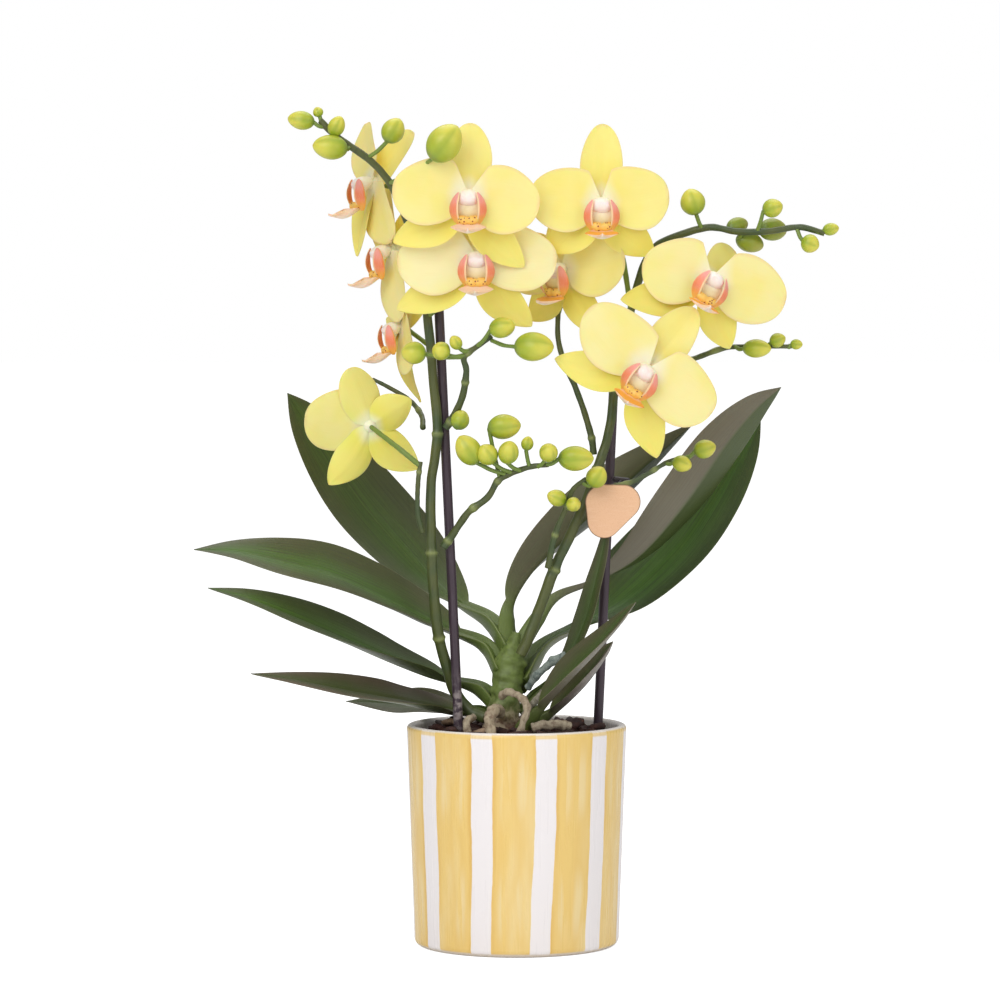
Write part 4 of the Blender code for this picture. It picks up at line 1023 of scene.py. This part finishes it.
def build_grow_pot(look):
    """A thin cup with a rolled rim and moulded ribs round its wall."""
    low, high = (corner_point.z / MM for corner_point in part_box("grow_pot"))
    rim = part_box("grow_pot")[1].x / MM
    bead, taper, ribs = 1.5, 9.5, 24
    top, bottom = rim - bead, rim - bead - taper
    profile = np.vstack([
        [(0.3, low + 0.8), (bottom - 0.8, low + 0.8)],
        np.linspace((bottom - 0.8, low + 2), (top - 0.8, high - 1), 12),
        [(top - 0.4, high), (rim - 0.3, high), (rim, high - 0.6), (rim, high - 2.8),
         (top + 0.2, high - 3.4)],
        np.linspace((top, high - 4), (bottom, low + 1), 12),
        [(bottom - 0.6, low), (0.3, low)],
    ])
    rings = lathe(profile, 96)
    turn = turns(96)
    rings[..., :2] *= (1 - 0.006 * np.cos(ribs * turn) ** 2)[None, :, None]
    skin = Skin()
    skin.add(rings)
    skin.piece("grow_pot", [plastic_finish(look)])


def squared(wave, power=0.6):
    """A cosine or sine with its sign kept and its size raised to a power, for a rounded box."""
    return np.sign(wave) * np.abs(wave) ** power


def chip_rings(centre, sizes, turn, seed):
    """A bark chip: rings of a rounded box, pushed by a coarse and a finer smooth noise."""
    across = np.linspace(-1, 1, 5)[:, None]
    around = turns(10)
    reach = 1 - 0.45 * np.abs(across) ** 3
    local = np.stack([np.broadcast_to(across, (5, 10)), reach * squared(np.cos(around)),
                      reach * squared(np.sin(around))], -1) * np.array(sizes) / 2
    local += 0.09 * min(sizes) * soft_noise(local + seed * 7.3, max(sizes), seed)[..., None]
    local += 0.12 * sizes[2] * soft_noise(local + seed, sizes[1] * 0.7, seed + 1)[..., None]
    spin = np.array(Euler([math.radians(angle) for angle in turn]).to_matrix())
    return local @ spin.T + np.array(centre)


def build_bark(look):
    """A bed of potting bark: a domed core, and chips laid over it in a sunflower spiral."""
    finish = bark_finish(look)
    low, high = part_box("bark_substrate")
    top = high.z / MM - 4
    rim = high.x / MM
    bed = np.array([(0.3, low.z / MM), (rim - 9, low.z / MM), (rim - 0.5, top - 6),
                    (rim - 2, top - 2), (0.3, top - 1)])
    skin = Skin()
    skin.add(lathe(bed, 64))
    chooser = np.random.default_rng(11)
    margin, smallest, largest, tilt, pale_share = 3.5, (7, 4, 2.5), (13, 8, 5), 30, 0.08
    for number in range(CHIP_COUNT):
        reach = (rim - margin) * math.sqrt((number + 0.5) / CHIP_COUNT)
        angle = number * GOLDEN_ANGLE
        lift = chooser.uniform(-1.5, 3.0)
        centre = (reach * math.cos(angle), reach * math.sin(angle), top + lift)
        sizes = chooser.uniform(smallest, largest)
        turn = chooser.uniform((-tilt, -tilt, 0), (tilt, tilt, 180))
        tone = float(chooser.random() < pale_share)
        skin.add(chip_rings(centre, sizes, turn, number), tone=tone)
    skin.piece("bark_substrate", [finish])
    for number, (name, (centre, sizes, turn)) in enumerate(LOOSE_CHIPS.items()):
        loose = Skin()
        loose.add(chip_rings(centre, sizes, turn, 300 + number), tone=float(number == 1))
        loose.piece(name, [finish])


# ---------------------------------------------------------------- leaves, crown and roots

def leaf_rings(leaf, thickness):
    """A strap leaf. The midrib follows the route; half widths follow a sine of the way along
    raised to the peak; each half rises by the fold; the midrib is pressed in as a groove, and
    the blade waves slowly. Below the base the petiole runs on into the crown and gets fleshy."""
    rows, sides = 64, 44
    groove_depth, groove_width, waviness, flesh = 0.9, 0.07, 0.035, 2.4
    knots = [leaf["heel"], *leaf["route"]]
    last = len(leaf["route"]) - 1
    along = np.linspace(-1 / last, 1, rows)
    midrib = route_at(knots, 1 + along * last)
    tangent = unit(np.gradient(midrib, axis=0))
    first, final = (np.array(way, float) for way in leaf["face"])
    look = first + (final - first) * np.clip(along, 0, 1)[:, None]
    across = unit(np.cross(tangent, look))
    up = np.cross(across, tangent)
    stalk = leaf.get("stalk", PETIOLE)
    blade = np.clip((along - stalk) / (1 - stalk), 0.001, 0.999)
    belly = np.sin(math.pi * blade ** leaf["peak"]) ** 0.9
    half = leaf["width"] / 2 * (0.26 * (1 - np.clip(along, -0.1, 1)) ** 3 + belly)
    half = np.maximum(half, 0.15)[:, None]
    bend = np.radians(leaf["fold"][1] + (leaf["fold"][0] - leaf["fold"][1])
                      * (1 - np.clip(along, 0, 1)) ** 3)[:, None]
    turn = turns(sides)
    side = np.cos(turn)
    grow = np.clip(along, 0, 1)[:, None]
    wave = waviness * leaf["width"] * np.sin(9 * grow + 2.2 * side) * side**2 * grow * (1 - grow)
    groove = -groove_depth * np.exp(-(side / groove_width) ** 2) * (1 - grow) ** 0.4
    lift = half * np.sin(bend) * np.abs(side) ** 1.4 + wave * 4 + groove
    middle = (midrib[:, None] + (half * np.cos(bend) * side)[..., None] * across[:, None]
              + lift[..., None] * up[:, None])
    slope = 1.4 * np.tan(bend) * np.abs(side) ** 0.4 * np.sign(side)
    normal = unit(up[:, None] - slope[..., None] * across[:, None])
    fleshy = thickness * (0.55 + 0.45 * (1 - np.abs(side))) * (1 + flesh * (1 - grow) ** 8)
    fleshy = fleshy * np.minimum(1, 0.25 + 6 * (1 - grow))
    rings = blade_rings(middle, normal, fleshy, turn)
    values = dict(along=along[:, None], side=side,
                  front=(np.sin(turn) > 0).astype(float), tone=leaf["purple"],
                  warmth=leaf["bright"])
    return rings, values


def build_leaves(look):
    """The eleven leaves, one piece each."""
    finish = leaf_finish(look)
    for name, leaf in LEAVES.items():
        skin = Skin()
        rings, values = leaf_rings(leaf, look.thickness / MM)
        skin.add(rings, **values)
        skin.piece(name, [finish])


def build_crown(look):
    """The short stem: a thick tube that swells at each leaf base and closes at its top."""
    rows, sides = 60, 36
    line = route_at(CROWN_ROUTE, np.linspace(0, len(CROWN_ROUTE) - 1, rows))
    along = np.linspace(0, 1, rows)
    radius = CROWN_RADII[0] + (CROWN_RADII[1] - CROWN_RADII[0]) * along
    radius = radius * (1 + 0.015 * np.sin(along * 26) + 0.08 * np.sin(along * 9 + 1))
    radius = radius * np.clip(3.2 * (1 - along) + 0.25, 0, 1)
    rings = roughened(tube_rings(line, radius, sides), line, 0.7, 7, 4)
    skin = Skin()
    skin.add(rings, along=along[:, None])
    skin.piece("crown", [crown_finish(look)])


def build_roots(look):
    """Aerial roots: a tube along the route, knobbly by noise, blunt at the ends."""
    finish = root_finish(look)
    rows, sides = 56, 20
    for number, (name, (route, radius, silver)) in enumerate(ROOTS.items()):
        line = route_at(route, np.linspace(0, len(route) - 1, rows))
        along = np.linspace(0, 1, rows)
        swell = radius * (1 + 0.12 * np.sin(along * 17 + number) + 0.06 * np.sin(along * 41))
        blunt = np.sqrt(np.clip(np.minimum(along, 1 - along) * 22, 0, 1)) + 0.2
        rings = tube_rings(line, swell * np.minimum(1, blunt), sides)
        rings = roughened(rings, line, 0.16 * radius, 4.5, 20 + number)
        skin = Skin()
        skin.add(rings, along=along[:, None], side=turns(sides, 1), tone=silver)
        skin.piece(name, [finish])


# ---------------------------------------------------------------- stems and buds

def stem_tube(skin, route, radii, samples, heights=(), pedicel=0.0, sides=14):
    """A stem: a tube whose radius runs evenly between its two ends, with a low ring and a paler
    collar where it passes each of the heights."""
    line = route_at(route, np.linspace(0, len(route) - 1, samples))
    along = np.linspace(0, 1, samples)
    radius = radii[0] + (radii[1] - radii[0]) * along
    collar = np.zeros(samples)
    for height in heights:
        collar = np.maximum(collar, np.exp(-(line[:, 2] - height) ** 2) * (along < 0.97))
    rings = tube_rings(line, radius * (1 + 0.26 * collar + 0.03 * np.sin(along * 60)), sides)
    skin.add(roughened(rings, line, 0.05 * radius, 9, 3), slot=0, along=along[:, None],
             front=collar[:, None] * 0.7, warmth=pedicel)


def bud_shape(skin, centre, size, width, tip, shade):
    """A bud: circles along its axis whose radius is the sine of the way along to a power, fuller
    towards the tip, flattened a little in three seams."""
    rows, sides = 26, 30
    axis = unit(np.array(tip, float))
    along = np.linspace(0.0, 1.0, rows)
    line = np.array(centre, float) + axis * ((along - 0.5) * size)[:, None]
    radius = width / 2 * np.sin(math.pi * np.clip(along, 0.003, 0.997) ** 0.92) ** 0.52
    rings = tube_rings(line, radius, sides)
    turn = turns(sides)
    seam = np.abs(np.cos(1.5 * turn + 0.7)) ** 14
    rings -= (0.035 * radius[:, None] * seam)[..., None] * unit(rings - line[:, None])
    fade = np.clip(np.sin(math.pi * along) * 2, 0, 1)[:, None]
    skin.add(rings, slot=1, along=along[:, None], front=seam * fade, tone=shade)


def flower_spin(flower, roll="roll"):
    """The turn of a flower's own frame, from its nod, the named roll and its turn."""
    angles = [math.radians(flower[key]) for key in ("nod", roll, "turn")]
    return np.array(Euler((angles[0], -angles[1], angles[2]), "YXZ").to_matrix())


def flower_back(flower):
    """The point behind a flower's centre where its stalk meets it."""
    x, y, z = FLOWER_BACK
    return np.array(flower["centre"]) + flower_spin(flower) @ (x, y * flower["size"], z)


def build_stems(look):
    """Spikes and branches, each with the stalks of its flowers and its buds."""
    finishes = [stem_finish(look), bud_finish(look)]
    for name, stem in STEMS.items():
        skin = Skin()
        samples = 22 * (len(stem["route"]) - 1)
        stem_tube(skin, stem["route"], stem["radii"], samples, stem["rings"])
        for flower, start, knee in stem["pedicels"]:
            route = [start, knee, flower_back(FLOWERS[flower])]
            stem_tube(skin, route, PEDICEL_RADII, 40, pedicel=0.8, sides=12)
        for centre, size, width, tip, start in stem["buds"]:
            axis = unit(np.array(tip, float))
            heel = np.array(centre) - axis * size * BUD_HEEL
            middle = (np.array(start) + heel) / 2 - (0, 0, BUD_STALK_SAG)
            stem_tube(skin, [start, middle, heel], BUD_STALK_RADII, 24, pedicel=0.9, sides=10)
            behind = centre[1] > -6
            bud_shape(skin, centre, size, width, tip, BUD_SHADE * behind)
        skin.piece(name, finishes)


# ---------------------------------------------------------------- flowers

def tepal_rings(kind, direction, size, lean, thickness, seed):
    """A petal or sepal in the flower's frame: half widths follow the sine of the way out raised
    to the base, itself raised to the fullness, with a fuller shoulder on a petal's upper half,
    and stay under a slope from the neck, so that neighbours meet along straight seams. The
    blade is cupped, its margin waves, and a shallow channel runs down its middle."""
    rows, sides = 34, 36
    along = (0.5 - 0.5 * np.cos(math.pi * np.linspace(0.03, 1, rows)))[:, None]
    turn = turns(sides)
    side = np.cos(turn)
    inside = np.clip(along, 0.002, 0.9995)
    angle, tilt = math.radians(direction), math.radians(lean)
    upper = (kind is PETAL) & (side * math.cos(angle) > 0)
    base = np.where(upper, SHOULDER, kind["base"])
    half = kind["width"] / 2 * np.sin(math.pi * inside**base) ** kind["fullness"]
    half = np.minimum(half, NECK + SEAM * along * size)
    half = half * (1 + 0.03 * np.sin(6 * along + 2 * side + seed))
    outward = np.array([math.cos(angle) * math.cos(tilt), math.sin(tilt),
                        math.sin(angle) * math.cos(tilt)])
    across = np.array([-math.sin(angle), 0, math.cos(angle)])
    lateral = kind is SEPAL and direction % 360 > 180
    bow = (0.07 * size * (1 if math.cos(angle) < 0 else -1)) if lateral else 0.0
    sway = half * side + bow * np.sin(math.pi * along)
    cup = kind["layer"] - CUP * side**2 * np.sin(math.pi * along)
    wave = 0.8 * side**2 * along * np.sin(5.5 * along + 3.1 * side + seed)
    channel = 0.7 * np.exp(-(side / 0.10) ** 2) * (1 - along) ** 0.5 * np.minimum(1, 5 * along)
    curl = (1.0 if kind is PETAL else 1.6) * along**3
    depth = cup + wave + channel + curl
    middle = outward * (along * size)[..., None] + across * sway[..., None]
    middle = middle + np.array([0, 1, 0]) * depth[..., None]
    thick = thickness * np.minimum(1, 0.3 + 4 * (1 - along)) * np.ones_like(side)
    rings = blade_rings(middle, np.array([0, -1.0, 0]), thick, turn)
    values = dict(along=along, side=side,
                  front=(np.sin(turn) > 0).astype(float), tone=kind["tone"])
    return rings, values


def build_flowers(look):
    """The ten flowers: five tepals, the heart that joins them, and the column."""
    finishes = [petal_finish(look), column_finish(look)]
    for number, (name, flower) in enumerate(FLOWERS.items()):
        skin = Skin()
        for order, tepal in enumerate(flower["tepals"]):
            rings, values = tepal_rings(*tepal, look.thickness / MM, number * 1.7 + order)
            skin.add(rings, warmth=flower["warmth"], **values)
        heart = np.linspace((0, 3.6, -0.5), (0, -2.2, 0), 14)
        swell = np.array([1.6, 2.0, 2.5, 2.9, 3.2, 3.4, 3.5, 3.5, 3.4, 3.2, 2.9, 2.4, 1.8, 1.0])
        skin.add(tube_rings(heart, swell, 24), along=0.05, front=1.0)
        size, centre = flower["size"], np.array(flower["centre"])
        skin.turned(flower_spin(flower) * size, centre)
        reach = np.linspace(0, 1, 26)
        column_length, droop = 8.6, 3.4
        column = np.stack([0 * reach, -1.0 - column_length * reach,
                           0.9 - droop * reach**1.6], -1)
        hood = 2.5 + 1.3 * np.sin(math.pi * reach**1.2) + 0.5 * reach
        hood = hood * np.sqrt(np.clip((1.02 - reach) * 9, 0, 1))
        hooded = tube_rings(column, hood, 28)
        wider, flatter = 1.28, 0.9
        hooded[..., 0] *= wider
        hooded[..., 2] = column[:, None, 2] + flatter * (hooded[..., 2] - column[:, None, 2])
        hooded = hooded @ (flower_spin(flower, "lip_roll") * size).T + centre
        skin.add(hooded, slot=1, along=reach[:, None])
        skin.piece(name, finishes)


def side_lobe(skin, way):
    """An upright side lobe, curved like a bracket: its centre line leans out by a sine of the
    way up, and the sheet runs from its inner front margin to its outer back one."""
    rows, sides = 26, 28
    foot, height, spread, thickness = -13.2, 15.4, 4.1, 0.8
    along = np.linspace(0, 1, rows)[:, None]
    turn = turns(sides)
    side = np.cos(turn)
    half = 3.1 * np.sin(math.pi * np.clip(along, 0.01, 0.995) ** 0.9) ** 0.5
    hollow = 0.9 * (1 - side**2) * np.sin(math.pi * along)
    lean = 2.6 + spread * np.sin(math.pi * (0.16 + 0.70 * along))
    x = way * (lean + 0.66 * half * side + hollow)
    y = -7.6 - 1.2 * along + 0.70 * half * side - 1.4 * np.sin(math.pi * along)
    z = foot + height * along + 0 * side
    middle = np.stack([x, y, z], -1)
    normal = unit(np.array([way * 0.72, -0.62, 0.0]))
    rings = blade_rings(middle, normal, thickness + 0 * along * side, turn)
    skin.add(rings, slot=0, along=along, side=side)


def middle_lobe(skin, ridge, curl):
    """The pointed middle lobe: a tongue held forward, narrow at its neck, with two swept
    shoulders, turned up at its margins by the curl and drawn out to a tip."""
    rows, sides = 34, 32
    neck, shoulders, tongue_length, thickness = 4.0, 7.4, 15.5, 1.3
    along = np.linspace(0, 1, rows)[:, None]
    turn = turns(sides)
    side = np.cos(turn)
    shoulder = (shoulders - 0.8 * curl) * np.exp(-((along - 0.36) / 0.22) ** 2)
    half = (neck + shoulder) * np.sqrt(np.clip(1.002 - along, 0, 1)) + 0.1
    x = half * side
    y = -8.0 - tongue_length * along + 1.8 * side**2 * np.sin(math.pi * along)
    rise = curl * side**2 * np.sin(math.pi * np.clip(along * 1.1, 0, 1))
    z = -12.2 - 5.0 * np.sin(0.5 * math.pi * np.clip(along * 1.5, 0, 1)) + 2.6 * along**2 + rise
    middle = np.stack([x, y, z + 0 * side], -1)
    normal = np.array([0, -0.25, 0.97])
    rings = blade_rings(middle, normal, thickness + 0 * along * side, turn)
    skin.add(rings, slot=2, along=along, side=side, warmth=ridge)


def throat(skin):
    """The callus: a low saddle at the foot of the side lobes, and the hollow behind it."""
    reach = np.linspace(-1, 1, 22)
    line = np.stack([5.4 * reach, -8.6 - 0.6 * (1 - reach**2), -11.2 + 1.9 * reach**2], -1)
    notch = 1 - 0.25 * np.exp(-(reach / 0.2) ** 2)
    radius = 2.5 * np.sqrt(np.clip(1 - reach**2, 0.02, 1)) * notch
    skin.add(tube_rings(line, radius, 20), slot=1, along=(reach[:, None] + 1) / 2)
    rise = np.linspace(-1, 1, 20)
    back = np.stack([0 * rise, -6.6 + 1.6 * rise**2, -5.6 + 6.2 * rise], -1)
    span = 6.4 * np.sqrt(np.clip(1 - rise**2, 0.01, 1))
    hollow = tube_rings(back, span, 28)
    flatness = 0.18
    hollow[..., 1] = back[:, None, 1] + flatness * (hollow[..., 1] - back[:, None, 1])
    skin.add(hollow, slot=3, along=(rise[:, None] + 1) / 2)


def build_lips(look):
    """The ten lips: two side lobes, the callus and the middle lobe."""
    finishes = [lip_finish(look), throat_finish(look), tongue_finish(look), hollow_finish(look)]
    for name, flower in FLOWERS.items():
        skin = Skin()
        for way in (-1, 1):
            side_lobe(skin, way)
        throat(skin)
        middle_lobe(skin, *flower["tongue"])
        spin = flower_spin(flower, "lip_roll")
        skin.turned(spin * flower["size"], np.array(flower["centre"]))
        skin.piece(f"{name}_lip", finishes)


# ---------------------------------------------------------------- stakes, tag and clip

def build_stakes(look):
    """Straight stakes with softly rounded ends."""
    finish = stake_finish(look)
    rows, chalk_height, chalk_reach = 70, 116, 16
    for name, ends in STAKES.items():
        along = np.linspace(0, 1, rows)
        line = np.array(ends[0]) + (np.array(ends[1]) - ends[0]) * along[:, None]
        height = np.linalg.norm(line - line[0], axis=1)
        blunt = np.sqrt(np.clip(np.minimum(height, height[-1] - height) / 3 + 0.1, 0, 1))
        chalk = np.clip(1 - np.abs(line[:, 2] - chalk_height) / chalk_reach, 0, 1)
        chalk = chalk * (name == "left_stake")
        skin = Skin()
        skin.add(tube_rings(line, STAKE_RADIUS * blunt, 24), tone=chalk[:, None])
        skin.piece(name, [finish])


def build_tag(look):
    """The tag: each way round, the outline takes the circle that reaches farthest that way. Its
    edges are softened. The clip has a thin arm that reaches back to the stake."""
    turn = turns(120)
    ways = np.stack([np.cos(turn), np.sin(turn)], -1)
    circles = np.array(TAG_CIRCLES)
    chosen = circles[np.argmax(ways @ circles[:, :2].T + circles[:, 2], axis=1)]
    outline = chosen[:, :2] + chosen[:, 2:] * ways
    share = np.array([0.02, 0.5, 0.8, 0.95, 0.985, 1.0, 1.0, 0.985, 0.95, 0.8, 0.5, 0.02])
    depth = TAG_THICKNESS / 2 * np.array([-1, -1, -1, -1, -0.9, -0.5, 0.5, 0.9, 1, 1, 1, 1])
    across, up = (share[:, None] * outline[:, k] for k in range(2))
    rings = np.stack([across, np.broadcast_to(depth[:, None], across.shape), up], -1)
    rings = rings + np.array(TAG_CENTRE)
    skin = Skin()
    skin.add(rings, side=share[:, None])
    skin.piece("plant_tag", [tag_finish(look)])

    clip = Skin()
    centre = np.array(CLIP_CENTRE, float)
    bar = np.linspace(centre + (-4.5, 0, 0.5), centre + (4.5, 0.6, -0.5), 12)
    clip.add(tube_rings(bar, 1.5 * np.sqrt(np.clip(1.1 - np.linspace(-1, 1, 12) ** 8, 0, 1)), 14))
    arm = route_at([centre, centre + (-2, -8, -2), np.array(TAG_CENTRE) + (1, 1.2, 11)],
                   np.linspace(0, 2, 20))
    clip.add(tube_rings(arm, 0.6, 10))
    clip.piece("tag_clip", [clip_finish()])


# ---------------------------------------------------------------- stage

def aim(obj, target):
    """Turns a camera or lamp to look at a point."""
    obj.rotation_euler = (Vector(target) - obj.location).to_track_quat("-Z", "Y").to_euler()


def soft_light(name, place, target, size, power):
    """A square area lamp."""
    lamp = bpy.data.lights.new(name, "AREA")
    lamp.size = size
    lamp.energy = power
    obj = bpy.data.objects.new(name, lamp)
    obj.location = place
    bpy.context.scene.collection.objects.link(obj)
    aim(obj, target)
    return obj


def build_stage(look):
    """Floor, even room light, a large key light at the upper left, a fill at the right and one
    above, and the camera."""
    scene = bpy.context.scene
    for obj in [o for o in scene.objects if o.type in ("CAMERA", "LIGHT")]:
        bpy.data.objects.remove(obj, do_unlink=True)
    mesh = bpy.data.meshes.new("floor")
    reach = 30.0
    mesh.from_pydata([(-reach, -reach, 0), (reach, -reach, 0), (reach, reach, 0),
                      (-reach, reach, 0)], [], [(0, 1, 2, 3)])
    mesh.materials.append(floor_finish(look))
    floor = bpy.data.objects.new("floor", mesh)
    scene.collection.objects.link(floor)
    middle = (0, 0, 0.2)
    lamps = [
        soft_light("key_light", (-0.8, -1.7, 1.3), middle, 1.6, look.key),
        soft_light("fill_light", (1.3, -1.4, 0.8), middle, 1.4, look.fill),
        soft_light("top_light", (0.1, 0.5, 1.8), middle, 1.6, look.key * 0.7),
    ]
    world = scene.world or bpy.data.worlds.new("room")
    scene.world = world
    world.use_nodes = True
    nodes, links = world.node_tree.nodes, world.node_tree.links
    nodes.clear()
    seen = nodes.new("ShaderNodeLightPath").outputs["Is Camera Ray"]
    level = nodes.new("ShaderNodeMapRange")
    level.inputs["To Min"].default_value = look.sky
    level.inputs["To Max"].default_value = 1.0
    room = nodes.new("ShaderNodeBackground")
    out = nodes.new("ShaderNodeOutputWorld")
    links.new(seen, level.inputs["Value"])
    links.new(level.outputs["Result"], room.inputs["Strength"])
    links.new(room.outputs[0], out.inputs[0])
    room.inputs["Color"].default_value = (1, 1, 1, 1)
    camera = bpy.data.objects.new("camera", bpy.data.cameras.new("camera"))
    camera.data.lens = look.lens
    camera.location = (-look.offset, -look.distance, look.height)
    scene.collection.objects.link(camera)
    aim(camera, (-look.offset, 0, look.aim))
    scene.camera = camera
    scene.view_settings.view_transform = "Standard"


# ---------------------------------------------------------------- operators and panel

class OrchidOperator:
    """What the operators share: each hands its group of settings to its builders."""

    bl_options = {"REGISTER", "UNDO"}

    def execute(self, context):
        for build in self.builders:
            build(getattr(context.scene, self.settings))
        return {"FINISHED"}


class ORCHID_OT_pot(OrchidOperator, bpy.types.Operator):
    """Builds the striped cover pot"""

    bl_idname = "orchid.pot"
    bl_label = "Cover pot"
    settings = "orchid_pot"
    builders = (build_pot,)


class ORCHID_OT_grow_pot(OrchidOperator, bpy.types.Operator):
    """Builds the plastic grow pot"""

    bl_idname = "orchid.grow_pot"
    bl_label = "Grow pot"
    settings = "orchid_pot"
    builders = (build_grow_pot,)


class ORCHID_OT_bark(OrchidOperator, bpy.types.Operator):
    """Builds the bark bed and the loose chips"""

    bl_idname = "orchid.bark"
    bl_label = "Bark"
    settings = "orchid_pot"
    builders = (build_bark,)


class ORCHID_OT_leaves(OrchidOperator, bpy.types.Operator):
    """Builds the eleven leaves"""

    bl_idname = "orchid.leaves"
    bl_label = "Leaves"
    settings = "orchid_plant"
    builders = (build_leaves,)


class ORCHID_OT_crown(OrchidOperator, bpy.types.Operator):
    """Builds the crown and the aerial roots"""

    bl_idname = "orchid.crown"
    bl_label = "Crown and roots"
    settings = "orchid_plant"
    builders = (build_crown, build_roots)


class ORCHID_OT_stems(OrchidOperator, bpy.types.Operator):
    """Builds the spikes, branches and buds"""

    bl_idname = "orchid.stems"
    bl_label = "Stems and buds"
    settings = "orchid_plant"
    builders = (build_stems,)


class ORCHID_OT_flowers(OrchidOperator, bpy.types.Operator):
    """Builds the petals, sepals and columns"""

    bl_idname = "orchid.flowers"
    bl_label = "Flowers"
    settings = "orchid_flower"
    builders = (build_flowers,)


class ORCHID_OT_lips(OrchidOperator, bpy.types.Operator):
    """Builds the lips of the flowers"""

    bl_idname = "orchid.lips"
    bl_label = "Lips"
    settings = "orchid_flower"
    builders = (build_lips,)


class ORCHID_OT_supports(OrchidOperator, bpy.types.Operator):
    """Builds the stakes, the tag and its clip"""

    bl_idname = "orchid.supports"
    bl_label = "Stakes and tag"
    settings = "orchid_plant"
    builders = (build_stakes, build_tag)


class ORCHID_OT_stage(OrchidOperator, bpy.types.Operator):
    """Builds the floor, the lights and the camera"""

    bl_idname = "orchid.stage"
    bl_label = "Stage"
    settings = "orchid_stage"
    builders = (build_stage,)


OPERATORS = (ORCHID_OT_pot, ORCHID_OT_grow_pot, ORCHID_OT_bark, ORCHID_OT_crown,
             ORCHID_OT_leaves, ORCHID_OT_stems, ORCHID_OT_flowers, ORCHID_OT_lips,
             ORCHID_OT_supports, ORCHID_OT_stage)
SETTINGS = {"orchid_pot": OrchidPot, "orchid_plant": OrchidPlant, "orchid_flower": OrchidFlower,
            "orchid_stage": OrchidStage}


class ORCHID_PT_panel(bpy.types.Panel):
    """Lists the pieces and their settings."""

    bl_label = "Potted orchid"
    bl_idname = "ORCHID_PT_panel"
    bl_space_type = "VIEW_3D"
    bl_region_type = "UI"
    bl_category = "Orchid"

    def draw(self, context):
        for operator in OPERATORS:
            self.layout.operator(operator.bl_idname)
        for name, group in SETTINGS.items():
            box = self.layout.box()
            box.label(text=group.__doc__)
            for key in group.__annotations__:
                box.prop(getattr(context.scene, name), key)


def register():
    """Registers the classes and gives every scene its settings."""
    for cls in (*SETTINGS.values(), *OPERATORS, ORCHID_PT_panel):
        bpy.utils.register_class(cls)
    for name, group in SETTINGS.items():
        setattr(bpy.types.Scene, name, bpy.props.PointerProperty(type=group))


def unregister():
    """Takes the settings and the classes away again."""
    for name in SETTINGS:
        delattr(bpy.types.Scene, name)
    for cls in reversed((*SETTINGS.values(), *OPERATORS, ORCHID_PT_panel)):
        bpy.utils.unregister_class(cls)


def main():
    """Registers the classes and builds every piece in order."""
    register()
    for operator in OPERATORS:
        group, name = operator.bl_idname.split(".")
        getattr(getattr(bpy.ops, group), name)()


if __name__ == "__main__":
    main()
